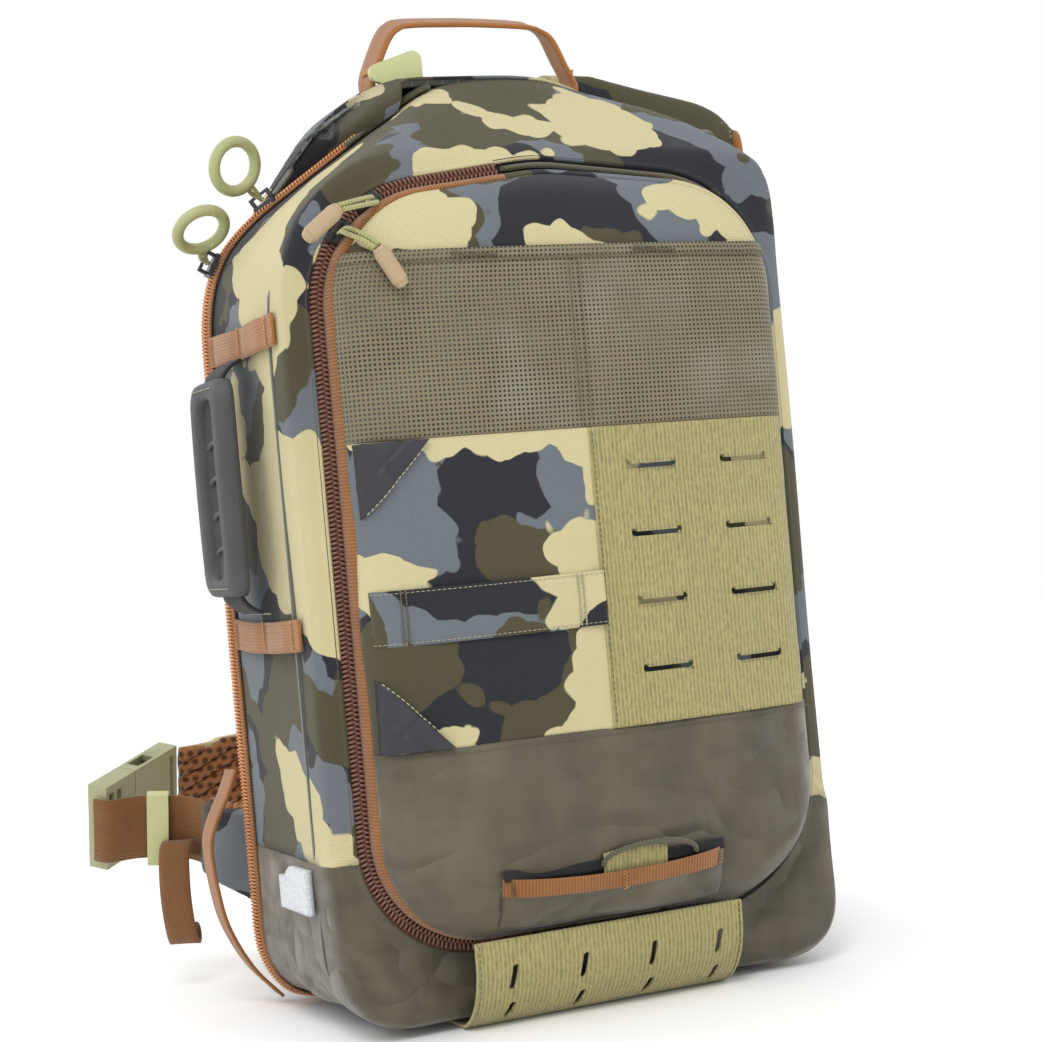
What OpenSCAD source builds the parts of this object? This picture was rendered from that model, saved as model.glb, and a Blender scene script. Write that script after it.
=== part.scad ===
// One-strap tackle pack: rear tray with harness, front shell, organiser flap, hip belt.
// +X to the hinge side, -Y to the front, +Z up, base centre at the origin.

/* [Body] */
// Half of the body's width
body_half_w = 145; // [140:1:160]
// Height of the ridge above the base
body_h = 492; // [480:1:520]
// Front face of the flap, measured from the origin
front_y = -92; // [-100:1:-88]
// Back of the rear tray
rear_y = 80; // [76:1:90]
// Thickness of the padded fabric walls
wall = 2.5; // [2:0.1:4]

/* [Main opening] */
// Plane of the main zip along the side
seam_y = 60; // [50:1:62]
// Height at which the main zip turns forward over the top
seam_knee_z = 405; // [400:1:415]
// Left end of the main zip at top and bottom
zip_end_x = -44; // [-60:1:-40]
// Width of one half of the main zip
zip_half = 4; // [3:0.5:5]

/* [Organiser flap] */
// Rear edge of the flap's rim
flap_rear_y = -66; // [-70:1:-62]
// Width of the zip flange round the flap
flange_w = 9; // [8:0.5:10]
// Thickness of the zip flange
flange_t = 3; // [2:0.5:4]
// Front of the shell outside the flap's zip
gusset_y = -72; // [-76:1:-71]
// Front of the wall between the two compartments
divider_y = -46; // [-50:1:-30]

/* [Webbing slots] */
// Length of a slot, end to end
slot_length = 29; // [26:1:32]
// Height of a slot
slot_height = 4; // [3:0.5:6]
// Distance between slot columns
slot_pitch_x = 55; // [50:1:56]
// Distance between slot rows
slot_pitch_z = 34; // [32:1:35]

/* [Harness] */
// Width of the hip belt's webbing
belt_web_w = 38; // [36:1:40]
// Height of a hip belt wing at the pack
wing_h = 72; // [65:1:80]
// Thickness of the shoulder strap's foam
strap_t = 9; // [7:1:12]

/* [Hidden] */
$fn = 32;

big = 700;
eps = 0.2;
fabric = 1.2;

// Corners of the body's front outline: x, z, radius
corner_left = [-52, 350, body_half_w - 52];
corner_mid = [15, body_h - 92, 92];
corner_right = [body_half_w - 93, 385, 93];
corner_ridge = [-26, body_h - 76, 74];
base_r = 45;

// Corners of the flap's outline: x, z, radius
flap_corner = [-61, 356, 58];
flap_low_left = [-67, 98, 52];
flap_low_right = [61, 106, 60];
flap_up_right = [63, 358, 58];
flap_crown = [0, 330, 92];

// Rows and columns of the webbing slots
slot_x = [34, 34 + slot_pitch_x];
slot_z = [for (i = [0:3]) 169 + i * slot_pitch_z];
panel_left_x = 1;
panel_right_x = 112;
panel_low_z = 141;
panel_top_z = 291;
mesh_top_z = 381;
low_x = -5;

// ---------- extrusions along each axis ----------
module slab_y(y0, y1) {
    translate([0, y1, 0])
        rotate([90, 0, 0])
            linear_extrude(y1 - y0)
                children();
}

module slab_x(x0, x1) {
    translate([x0, 0, 0])
        rotate([90, 0, 90])
            linear_extrude(x1 - x0)
                children();
}

module slab_z(z0, z1) {
    translate([0, 0, z0])
        linear_extrude(z1 - z0)
            children();
}

module spot(c, grow) {
    translate([c[0], c[1]])
        circle(r = c[2] + grow);
}

// x and z range as a rectangle, for slab_y
module rect(x0, x1, z0, z1) {
    translate([x0, z0])
        square([x1 - x0, z1 - z0]);
}

module block(lo, hi) {
    translate(lo)
        cube(hi - lo);
}

// Straight round bar between two points
module rod(p, q, r) {
    d = q - p;
    translate(p)
        rotate([0, acos(d[2] / norm(d)), atan2(d[1], d[0])])
            cylinder(h = norm(d), r = r, $fn = 20);
}

// ---------- the body's form ----------
module front_outline(grow, ridge = false) {
    base_x = body_half_w - base_r;
    hull() {
        spot([-base_x, base_r, base_r], grow);
        spot([base_x, base_r, base_r], grow);
        spot(corner_left, grow);
        spot(corner_mid, grow);
        spot(corner_right, grow);
        if (ridge) spot(corner_ridge, grow);
    }
}

module side_outline(grow) {
    hull() {
        spot([front_y + 34, 34, 34], grow);
        spot([rear_y - 12, 12, 12], grow);
        spot([front_y + 20, 404, 20], grow);
        spot([8, body_h - 18, 18], grow);
        spot([rear_y - 18, body_h - 18, 18], grow);
    }
}

module plan_outline(grow) {
    hull() {
        for (s = [-1, 1]) {
            spot([s * (body_half_w - 42), front_y + 42, 42], grow);
            spot([s * (body_half_w - 20), rear_y - 20, 20], grow);
        }
    }
}

module form(grow, ridge = false) {
    intersection() {
        slab_y(front_y - 20, rear_y + 20) front_outline(grow, ridge);
        slab_x(-200, 200) side_outline(grow);
        slab_z(-10, big) plan_outline(grow);
    }
}

// Everything in front of the main seam, moved forward by gap
module ahead_of_seam(gap) {
    slab_x(-220, 220)
        polygon([[-220, -50], [seam_y - gap, -50], [seam_y - gap, seam_knee_z],
            [2 - gap, 480], [2 - gap, big], [-220, big]]);
}

module behind_seam(gap) {
    slab_x(-220, 220)
        polygon([[220, -50], [seam_y + gap, -50], [seam_y + gap, seam_knee_z],
            [2 + gap, 480], [2 + gap, big], [220, big]]);
}

module beyond_zip() {
    block([zip_end_x, -220, -20], [220, 220, big]);
}

module flap_outline(grow) {
    hull() {
        spot(flap_corner, grow);
        spot(flap_low_left, grow);
        spot(flap_low_right, grow);
        spot(flap_up_right, grow);
        spot(flap_crown, grow);
    }
}

module flap_slab(grow, y0, y1) {
    slab_y(y0, y1) flap_outline(grow);
}

// A layer that lies on the body's form, from height t0 to t1 above it
module layer(t0, t1) {
    intersection() {
        difference() {
            form(t1);
            form(t0);
        }
        union() children();
        block([-220, -220, 0], [220, 220, big]);
    }
}

// ---------- rear body ----------
module rear_shell() {
    color([0.30, 0.28, 0.20])
        difference() {
            intersection() {
                form(0, true);
                union() {
                    behind_seam(zip_half);
                    intersection() {
                        behind_seam(eps);
                        beyond_zip();
                    }
                }
            }
            form(-wall, true);
            main_slider_way();
        }
}

module frame_sheet() {
    color([0.12, 0.12, 0.13])
        intersection() {
            form(-wall - 0.3);
            slab_y(rear_y - wall - 2.3, rear_y - wall)
                intersection() {
                    front_outline(-12);
                    rect(-200, 200, 14, 450);
                }
        }
}

module back_pad() {
    color([0.54, 0.35, 0.21])
        slab_y(rear_y, rear_y + 12)
            hull()
                for (x = [-70, 70], z = [210, 400])
                    translate([x, z]) circle(r = 32);
}

module lumbar_pad() {
    color([0.54, 0.35, 0.21])
        slab_y(rear_y, rear_y + 13)
            hull()
                for (x = [-70, 70])
                    translate([x, 112]) circle(r = 36);
}

module zip_band(t0, t1) {
    difference() {
        intersection() {
            form(1);
            behind_seam(t0);
            ahead_of_seam(-t1);
        }
        form(-5);
        beyond_zip();
        block([-220, -220, -20], [220, 220, 0]);
    }
}

module main_zip_rear() {
    color([0.66, 0.39, 0.2]) zip_band(0.15, zip_half);
}

module main_zip_front() {
    color([0.66, 0.39, 0.2]) zip_band(-zip_half, -0.15);
}

// Saddle over the ridge from which the shoulder strap hangs
root_back_y = 104;
module strap_root() {
    color([0.88, 0.83, 0.62])
        difference() {
            intersection() {
                slab_x(62, 182)
                    hull() {
                        spot([44, body_h + 2, 5], 0);
                        spot([rear_y, body_h, 6], 0);
                        spot([root_back_y - 6, 482, 6], 0);
                    }
                slab_y(0, 200)
                    hull() {
                        spot([70, 440, 62], 0);
                        spot([140, 426, 60], 0);
                    }
            }
            form(0.2, true);
            behind_strap_hinge();
        }
}

strap_axis_z = 476;
module behind_strap_hinge() {
    slab_x(-220, 220)
        rect(rear_y + 3, 200, 0, strap_axis_z + 0.5);
}

module lower_side_strap() {
    color([0.6, 0.36, 0.16])
        slab_y(seam_y + 6, seam_y + 18)
            difference() {
                hull() {
                    spot([-body_half_w, 126, 3], 0);
                    spot([-163, 92, 4], 0);
                    spot([-157, 45, 4], 0);
                    spot([-128, 3, 3], 0);
                }
                hull() {
                    spot([-body_half_w + 2, 120, 3], 0);
                    spot([-161, 92, 3], 0);
                    spot([-155, 46, 3], 0);
                    spot([-126, 9, 3], 0);
                }
                front_outline(0.1);
                rect(-220, 0, -20, 0);
            }
}

// ---------- front shell ----------
// Space in front of the shell round the flap, where it steps back behind the flap's face
module step_back(d) {
    slab_x(-220, 220)
        polygon([[-220, 62 - d], [-97 + d, 62 - d], [gusset_y + d, 112 - d], [gusset_y + d, big],
            [-220, big]]);
}

module front_shell() {
    color([0.44, 0.48, 0.5])
        difference() {
            intersection() {
                form(0);
                union() {
                    ahead_of_seam(zip_half);
                    intersection() {
                        ahead_of_seam(eps);
                        beyond_zip();
                    }
                }
            }
            difference() {
                form(-wall);
                flap_slab(flange_w + wall, -220, flap_rear_y + 5);
                step_back(wall);
            }
            step_back(0);
            flap_slab(flange_w + eps, -220, flap_rear_y + 1);
            flap_slab(-8, -220, flap_rear_y + 6);
        }
}

module divider_wall() {
    color([0.2, 0.2, 0.2])
        intersection() {
            form(-wall - 0.3);
            block([-200, divider_y, 0], [200, divider_y + 2, big]);
        }
}

module base_foam() {
    color([0.15, 0.15, 0.16])
        intersection() {
            form(-wall - 0.4);
            block([-120, divider_y + 6, 0], [120, seam_y - 8, 11]);
        }
}

module top_yoke() {
    color([0.44, 0.48, 0.52])
        layer(0, fabric)
            intersection() {
                difference() {
                    ahead_of_seam(zip_half + 3);
                    flap_slab(flange_w + 1, -220, flap_rear_y + 6);
                    block([-220, -220, -20], [220, -74, big]);
                }
                block([-66, -80, 430], [56, 60, big]);
            }
}

base_slot_x = [for (i = [0:3]) low_x - 57 + i * 38];
module base_panel() {
    color([0.65, 0.62, 0.41])
        difference() {
            slab_x(low_x - 76, low_x + 72)
                intersection() {
                    difference() {
                        side_outline(1.6);
                        side_outline(0);
                    }
                    rect(-130, -62, 0, 35);
                }
            for (x = base_slot_x) {
                block([x - 1.8, -120, 20], [x + 1.8, -70, 31]);
                block([x - 1.8, -83, -5], [x + 1.8, -70, 12]);
            }
        }
}

module lower_panels() {
    color([0.33, 0.3, 0.24])
        layer(0, 1)
            difference() {
                union() {
                    block([-220, -120, 0], [low_x - 76.5, seam_y - 6, 88]);
                    block([low_x + 72.5, -120, 0], [220, seam_y - 6, 88]);
                }
                flap_slab(flange_w + 1, -220, flap_rear_y + 6);
                step_back(-0.2);
            }
}

loop_h = 16;
// Strip of height loop_h on the side wall, from t0 to t1 above it
module side_strip(side, t0, t1, y0, y1, z) {
    slab_z(z, z + loop_h)
        intersection() {
            difference() {
                plan_outline(t1);
                plan_outline(t0);
            }
            translate([side < 0 ? -220 : 90, y0])
                square([130, y1 - y0]);
        }
}

module side_loops(side, heights) {
    for (z = heights) {
        side_strip(side, 2, 3.4, -50, 50, z);
        for (y = [-50, -4, 44]) side_strip(side, 0, 2.1, y, y + 6, z);
    }
}

module side_loops_left() {
    color([0.72, 0.46, 0.18]) side_loops(-1, [343, 193]);
}

module side_loops_right() {
    color([0.72, 0.46, 0.18]) side_loops(1, [343, 193]);
}

module reflective_patch() {
    color([0.77, 0.78, 0.81])
        layer(1, 1.8)
            block([-220, -42, 68], [-100, 0, 87]);
}

module flange_ring(g0, g1) {
    difference() {
        flap_slab(g1, flap_rear_y - flange_t + 1, flap_rear_y + 1 - eps);
        flap_slab(g0, -220, 0);
    }
}

// The flap's zip runs round its left side, between a top end and a bottom end
module zip_side() {
    block([-220, -220, 0], [-40, 0, 260]);
    block([-220, -220, 0], [-22, 0, big]);
}

module front_zip_inner() {
    color([0.62, 0.37, 0.2])
        intersection() {
            flange_ring(flange_w / 2 + 0.15, flange_w);
            zip_side();
        }
}

module front_zip_outer() {
    color([0.62, 0.37, 0.2])
        intersection() {
            flange_ring(0, flange_w / 2 - 0.15);
            zip_side();
        }
}

module flap_hinge_strip() {
    color([0.16, 0.16, 0.17])
        difference() {
            flange_ring(0.5, flange_w);
            zip_side();
            translate([-0.5, 0, 0]) zip_side();
            translate([0.5, 0, 0]) zip_side();
        }
}

module inner_mesh_pocket() {
    color([0.2, 0.2, 0.19])
        slab_y(divider_y - 2.5, divider_y - 0.3)
            hull()
                for (x = [-80, 80], z = [80, 210])
                    translate([x, z]) circle(r = 12);
}

// ---------- moulded grip on the zip side ----------
grip_low_z = 222;
grip_top_z = 332;
grip_front_y = -22;
grip_rear_y = 28;
grip_in_x = -(body_half_w + 10);
grip_t = 9;
module side_grip() {
    mid_y = (grip_front_y + grip_rear_y) / 2;
    color([0.25, 0.25, 0.26])
        difference() {
            slab_x(grip_in_x - grip_t, grip_in_x)
                hull()
                    for (y = [grip_front_y + 9, grip_rear_y - 9], z = [grip_low_z + 9, grip_top_z - 9])
                        translate([y, z]) circle(r = 9);
            slab_x(grip_in_x - grip_t - 1, grip_in_x - 3)
                hull()
                    for (z = [grip_low_z + 22, grip_top_z - 22])
                        translate([mid_y + 3, z]) circle(r = 11);
        }
}

module grip_tabs() {
    color([0.2, 0.2, 0.2])
        for (z = [grip_low_z + 2, grip_top_z - 14])
            block([grip_in_x + 0.3, grip_front_y + 8, z], [-body_half_w, grip_rear_y - 8, z + 12]);
}

// ---------- organiser flap ----------
module slot_cut(x, z, length, height) {
    for (s = [-1, 1])
        translate([x + s * (length - height) / 2, -60, z])
            rotate([90, 0, 0])
                cylinder(h = 60, r = height / 2);
    block([x - (length - height) / 2, -120, z - height / 2],
        [x + (length - height) / 2, -60, z + height / 2]);
}

module flap_shell() {
    color([0.44, 0.48, 0.5])
        difference() {
            intersection() {
                form(0);
                flap_slab(0, -220, flap_rear_y);
            }
            intersection() {
                form(-wall);
                flap_slab(-wall, -220, flap_rear_y + 1);
            }
            for (x = slot_x, z = slot_z) slot_cut(x, z, slot_length + 3, slot_height + 4);
        }
}

module flap_layer(t0, t1, x0, x1, z0, z1) {
    layer(t0, t1)
        intersection() {
            flap_slab(-2, -220, -76);
            block([x0, -220, z0], [x1, -70, z1]);
        }
}

module mesh_pocket() {
    color([0.43, 0.41, 0.32])
        flap_layer(0, fabric, -130, 130, panel_top_z + 0.5, mesh_top_z);
}

module camo_pocket() {
    color([0.88, 0.83, 0.62])
        flap_layer(0, 1.6, -130, panel_left_x - 0.5, panel_low_z, panel_top_z);
}

module corner_tucks() {
    color([0.18, 0.18, 0.2])
        intersection() {
            flap_layer(1.6, 2.6, -130, 0, panel_low_z, panel_top_z);
            for (z = [panel_low_z, panel_top_z])
                slab_y(-220, 0)
                    polygon([[-130, z - 34], [-130, z + 34], [-84, z]]);
        }
}

strap_low_z = 193;
strap_high_z = 220;
module daisy_strap() {
    color([0.62, 0.6, 0.45]) {
        flap_layer(4, 5.2, -130, panel_left_x, strap_low_z, strap_high_z);
        for (x = [-104, -14])
            flap_layer(1.6, 4, x, x + 4, strap_low_z, strap_high_z);
    }
}

module molle_panel() {
    color([0.65, 0.62, 0.41])
        difference() {
            flap_layer(0, 1.8, panel_left_x, panel_right_x, panel_low_z, panel_top_z);
            for (x = slot_x, z = slot_z) slot_cut(x, z, slot_length, slot_height);
        }
}

module nylon_band() {
    color([0.33, 0.3, 0.24])
        flap_layer(0, 1.4, -130, 130, 40, panel_low_z - 0.5);
}

pocket_x0 = low_x - 61;
pocket_x1 = low_x + 61;
pocket_low_z = 49;
pocket_top_z = 73;
module lower_pocket() {
    color([0.33, 0.3, 0.24])
        difference() {
            flap_layer(1.4, 9.5, pocket_x0, pocket_x1, pocket_low_z, pocket_top_z);
            flap_layer(1.3, 8, pocket_x0 + 1.5, pocket_x1 - 1.5, pocket_low_z + 1.5, big);
        }
}

module pocket_trim() {
    color([0.72, 0.46, 0.18])
        flap_layer(9.5, 10.5, pocket_x0, pocket_x1, pocket_top_z - 10, pocket_top_z);
}

module label_tab() {
    color([0.55, 0.52, 0.36])
        flap_layer(1.6, 2.6, -14, 22, 58, 79);
}

// ---------- zip sliders and pulls ----------
// Lies in the X-Z plane: base on y = 0, travel along x, bail over the middle
slider_w = 7.6;
slider_l = 13;
slider_t = 4;
bail_y = -slider_t - 1.6;
module slider() {
    block([-slider_l / 2, -slider_t, -slider_w / 2], [slider_l / 2, 0, slider_w / 2]);
    for (s = [-1, 1])
        block([s * 5.4 - 1, -slider_t - 3.4, -0.9], [s * 5.4 + 1, -slider_t, 0.9]);
    block([-6.4, -slider_t - 5, -0.9], [6.4, -slider_t - 3.4, 0.9]);
}

// Cord through the bail: across it by the step s from its middle o, then on along the points p
cord_r = 1.2;
corner_lap = 0.85;
module pull_cord(o, s, p) {
    path = concat([o - s * 0.6, o + s], p);
    for (i = [0:len(path) - 2]) {
        d = (path[i + 1] - path[i]) / norm(path[i + 1] - path[i]);
        from = i > 0 ? path[i] - d * corner_lap : path[i];
        to = i < len(path) - 2 ? path[i + 1] + d * corner_lap : path[i + 1];
        rod(from, to, cord_r * (1 - 0.07 * (i % 2)));
    }
}

flange_face_y = flap_rear_y - flange_t + 0.8;
front_track_r = flap_corner[2] + flange_w / 2;
function on_corner(c, r, a, y) = [c[0] + r * cos(a), y, c[1] + r * sin(a)];

upper_angle = 122;
lower_angle = 142;
module front_slider(a) {
    color([0.1, 0.1, 0.11])
        translate(on_corner(flap_corner, front_track_r, a, flange_face_y))
            rotate([0, 90 - a, 0])
                slider();
}

module front_slider_upper() front_slider(upper_angle);
module front_slider_lower() front_slider(lower_angle);

function front_bail(a) = on_corner(flap_corner, front_track_r, a, flange_face_y + bail_y);
upper_end = [-133, -98, 391];
lower_end = [-92, -100, 368];
upper_mid = [-118, -97.5, 403];
lower_mid = [-101, -99, 384];
cord_step = 4.4;
cord_out_y = -98;

module front_pull(a, mid) {
    o = front_bail(a);
    s = cord_step * [cos(a), 0, sin(a)];
    color([0.66, 0.65, 0.42]) pull_cord(o, s, [[o[0] + s[0], cord_out_y, o[2] + s[2]], mid]);
}

module front_pull_upper() front_pull(upper_angle, upper_mid);
module front_pull_lower() front_pull(lower_angle, lower_mid);

module pull_end(p, q) {
    d = (q - p) / norm(q - p);
    color([0.72, 0.62, 0.49])
        translate(p + d * 0.8)
            rotate([0, acos(d[2]), atan2(d[1], d[0])])
                rotate_extrude($fn = 24)
                    polygon([[0, 0], [3.2, 0], [4.2, 3], [4.2, norm(q - p)],
                        [3, norm(q - p) + 3], [0, norm(q - p) + 4]]);
}

module front_end_upper() pull_end(upper_mid, upper_end);
module front_end_lower() pull_end(lower_mid, lower_end);

main_lower_angle = 150;
main_track_r = corner_left[2] + 1.2;
main_lower_at = on_corner(corner_left, main_track_r, main_lower_angle, seam_y);
main_upper_angle = 126;
main_upper_z = corner_left[1] + main_track_r * sin(main_upper_angle);
main_upper_y = seam_y - (seam_y - 2) * (main_upper_z - seam_knee_z) / (480 - seam_knee_z);
main_upper_at = on_corner(corner_left, main_track_r, main_upper_angle, main_upper_y);

module on_main_track(p, a, turn) {
    translate(p)
        rotate([0, -a, 0])
            rotate([0, 0, -90])
                rotate([0, 90 + turn, 0])
                    translate([0, -0.1, 0])
                        children();
}

module main_slider(p, a, turn) {
    color([0.1, 0.1, 0.11]) on_main_track(p, a, turn) slider();
}

// Clear way in the ridge for the upper slider's travel
main_slope = (seam_y - 2) / (480 - seam_knee_z);
main_run = [sin(main_upper_angle), main_slope * cos(main_upper_angle), -cos(main_upper_angle)];
module main_slider_way() {
    for (d = [0:5:30])
        translate(d * main_run / norm(main_run))
            on_main_track(main_upper_at, main_upper_angle + 180, main_upper_turn)
                block([-8, -12, -slider_w / 2 - 0.7], [8, 0.3, slider_w / 2 + 0.7]);
}

main_upper_turn = 36;
module main_slider_lower() main_slider(main_lower_at, main_lower_angle + 180, 0);
module main_slider_upper() main_slider(main_upper_at, main_upper_angle + 180, main_upper_turn);

function away(p, a, d) = p + [d * cos(a), 0, d * sin(a)];
main_lower_bail = away(main_lower_at, main_lower_angle, -bail_y + 0.1);
main_upper_bail = away(main_upper_at, main_upper_angle, -bail_y + 0.1);
main_lower_hang = main_lower_bail + [-2.1, -6.4, 5.2];
main_upper_hang = main_upper_bail + [-5.3, -3.8, 5.4];

// Direction across a slider at angle a on the side wall, turned by t up the slope
function across(a, t) = [-sin(t) * sin(a), -cos(t), sin(t) * cos(a)];

module main_pull(o, a, t, hang) {
    color([0.66, 0.65, 0.42]) pull_cord(o, cord_step * across(a, t), [hang]);
}

module main_pull_lower() main_pull(main_lower_bail, main_lower_angle, 0, main_lower_hang);
module main_pull_upper() {
    main_pull(main_upper_bail, main_upper_angle, main_upper_turn, main_upper_hang);
}

ring_r = 13;
ring_tube = 3;
module pull_ring(p, turn) {
    color([0.72, 0.74, 0.53])
        translate(p)
            rotate(turn)
                translate([-ring_r - ring_tube - 0.2, 0, 0])
                    rotate_extrude($fn = 40)
                        translate([ring_r, 0]) circle(r = ring_tube, $fn = 20);
}

module main_ring_lower() pull_ring(main_lower_hang + [-1.2, 0, 0], [160, 37.6, 71.6]);
module main_ring_upper() pull_ring(main_upper_hang + [-1.2, 0, 0], [115, 39.8, 36]);

// ---------- haul handle ----------
handle_y0 = 16;
handle_y1 = 35;
handle_x0 = -52;
handle_x1 = 68;
handle_low_z = body_h + 8;
handle_foot_z = body_h + 2.5;
handle_top_z = 522;
module handle_arch(grow) {
    hull() {
        spot([handle_x0 + 4, body_h - 4, 4], grow);
        spot([handle_x1 - 4, body_h - 4, 4], grow);
        spot([handle_x0 + 22, handle_top_z - 9, 8], grow);
        spot([handle_x1 - 20, handle_top_z - 9, 8], grow);
    }
}

module handle_web(z0, z1) {
    intersection() {
        slab_y(handle_y0, handle_y1)
            difference() {
                handle_arch(1);
                handle_arch(-1.4);
            }
        block([-100, 0, z0], [100, 60, z1]);
    }
}

module haul_handle() {
    color([0.72, 0.46, 0.18]) handle_web(handle_low_z, 600);
}

module handle_feet() {
    color([0.72, 0.46, 0.18])
        difference() {
            handle_web(465, handle_foot_z);
            form(0, true);
            block([handle_x0 + 10, 0, 400], [handle_x1 - 10, 60, 600]);
        }
}

module handle_tab() {
    color([0.72, 0.74, 0.6])
        difference() {
            slab_y(handle_y0 - 4, handle_y0 - 0.4)
                hull() {
                    spot([handle_x0 + 2, body_h, 5], 0);
                    spot([handle_x0 + 22, body_h + 7, 5], 0);
                    spot([handle_x0 + 22, body_h - 6, 5], 0);
                }
            form(0, true);
        }
}

// ---------- shoulder strap ----------
strap_front_y = rear_y + 15;
module strap_outline(grow) {
    union() {
        hull() {
            spot([96, 446, 26], grow);
            spot([158, 442, 26], grow);
            spot([128, 350, 36], grow);
        }
        hull() {
            spot([128, 350, 36], grow);
            spot([76, 240, 36], grow);
        }
        hull() {
            spot([76, 240, 36], grow);
            spot([-8, 176, 26], grow);
        }
    }
}

module strap_pad() {
    color([0.44, 0.48, 0.5])
        slab_y(strap_front_y + 2, strap_front_y + strap_t) strap_outline(0);
}

module strap_lining() {
    color([0.54, 0.35, 0.21])
        slab_y(strap_front_y, strap_front_y + 2) strap_outline(-2);
}

// ---------- hip belt ----------
belt_y = rear_y + 16;
belt_z = 75;
belt_tilt = 17;
module tilted() {
    translate([0, belt_y, belt_z])
        rotate([belt_tilt, 0, 0])
            translate([0, -belt_y, -belt_z])
                children();
}

function arc_points(c, r, a0, a1, n) =
    [for (i = [0:n]) c + r * [cos(a0 + (a1 - a0) * i / n), sin(a0 + (a1 - a0) * i / n)]];

// Outline of a strip of width t along the points p
function strip_side(p, t) = [
    for (i = [0:len(p) - 1])
        let (d = p[min(i + 1, len(p) - 1)] - p[max(i - 1, 0)])
            p[i] + t / norm(d) * [-d[1], d[0]]
];
function reversed(p) = [for (i = [len(p) - 1:-1:0]) p[i]];
function strip(p, t0, t1) = concat(strip_side(p, t0), reversed(strip_side(p, t1)));

near_path = [[-112, 97], [-126, 104], [-138, 120], [-146, 140]];
far_path = concat([[112, 97]], arc_points([10, 110], 118, 8, 90, 9),
    arc_points([-80, 178], 50, 90, 112, 2), [[-140, 219]]);
web_path = [[-148, 143], [-160, 154], [-178, 160], [-195, 158.5]];

module wing_profile(x0, x1, h0, h1) {
    slab_y(60, 300)
        polygon([[x0, belt_z - h0 / 2], [x1, belt_z - h1 / 2], [x1, belt_z + h1 / 2],
            [x0, belt_z + h0 / 2]]);
}

module belt_wing_near() {
    color([0.44, 0.48, 0.5])
        tilted()
            intersection() {
                slab_z(0, 200) polygon(strip(near_path, 0, 8));
                wing_profile(-150, -108, 42, wing_h);
            }
}

module belt_wing_far() {
    color([0.44, 0.48, 0.5])
        tilted()
            intersection() {
                slab_z(0, 200) polygon(strip(far_path, 0, -8));
                wing_profile(-150, 150, 42, wing_h + 14);
            }
}

module belt_linings() {
    color([0.54, 0.35, 0.21])
        tilted() {
            intersection() {
                slab_z(0, 200) polygon(strip(near_path, -2, 0));
                wing_profile(-150, -108, 38, wing_h - 4);
            }
            intersection() {
                slab_z(0, 200) polygon(strip(far_path, 2, 0));
                wing_profile(-150, 150, 38, wing_h + 10);
            }
        }
}

module belt_webbing() {
    color([0.55, 0.34, 0.15])
        tilted()
            slab_z(belt_z - belt_web_w / 2, belt_z + belt_web_w / 2)
                polygon(strip(web_path, 1, 3));
}

// Buckle frame: u along the pull, v across the thickness, w up
buckle_at = [-201, 168];
buckle_turn = 43;
buckle_w = 50;
buckle_t = 12;
ladder_l = 17;
male_l = 30;
female_l = 36;
tongue_l = 26;
module in_buckle() {
    tilted()
        translate([buckle_at[0], buckle_at[1], belt_z])
            rotate([0, 0, buckle_turn])
                children();
}

module buckle_male() {
    color([0.54, 0.54, 0.41])
        in_buckle() {
            difference() {
                block([0, -buckle_t / 2, -buckle_w / 2], [male_l, buckle_t / 2, buckle_w / 2]);
                for (u = [3, 11])
                    block([u, -20, -belt_web_w / 2 - 1], [u + 4.5, 20, belt_web_w / 2 + 1]);
            }
            block([male_l, -3, -4], [male_l + tongue_l, 3, 4]);
        }
}

prong_gap = 0.4;
module prong(s) {
    color([0.54, 0.54, 0.41])
        in_buckle()
            rotate([s < 0 ? 180 : 0, 0, 0]) {
                block([male_l + prong_gap, -3.2, 11], [male_l + 20, 3.2, 16]);
                block([male_l + 9, -3.2, 16], [male_l + 20, 3.2, 20.5]);
            }
}

module buckle_prong_upper() prong(1);
module buckle_prong_lower() prong(-1);

module buckle_female() {
    end = male_l + female_l;
    color([0.54, 0.54, 0.41])
        in_buckle()
            difference() {
                block([male_l + 0.5, -buckle_t / 2, -buckle_w / 2],
                    [end + 9, buckle_t / 2, buckle_w / 2]);
                block([male_l - 1, -3.8, -21.5], [end - 6, 3.8, 21.5]);
                for (s = [-1, 1])
                    block([male_l + 7, -3.8, s * 23 - 4], [male_l + 23, 3.8, s * 23 + 4]);
                block([end + 1.5, -20, -belt_web_w / 2 - 1], [end + 5.5, 20, belt_web_w / 2 + 1]);
            }
}

keeper_at = [-169.6, 155.3];
module belt_keeper() {
    color([0.6, 0.57, 0.38])
        tilted()
            translate([keeper_at[0], keeper_at[1], belt_z])
                rotate([0, 0, 161.6])
                    difference() {
                        block([-6, -3.4, -belt_web_w / 2 - 2.4], [6, 3.4, belt_web_w / 2 + 2.4]);
                        block([-7, -2.2, -belt_web_w / 2 - 0.8], [7, 2.2, belt_web_w / 2 + 0.8]);
                    }
}

tail_top = [-167, 135, 78];
module webbing_tail() {
    color([0.5, 0.3, 0.15])
        translate(tail_top)
            rotate([0, 0, 55])
                slab_y(-9, 9)
                    hull() {
                        spot([0, -6, 3], 0);
                        spot([2, -48, 7], 0);
                    }
}

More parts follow.
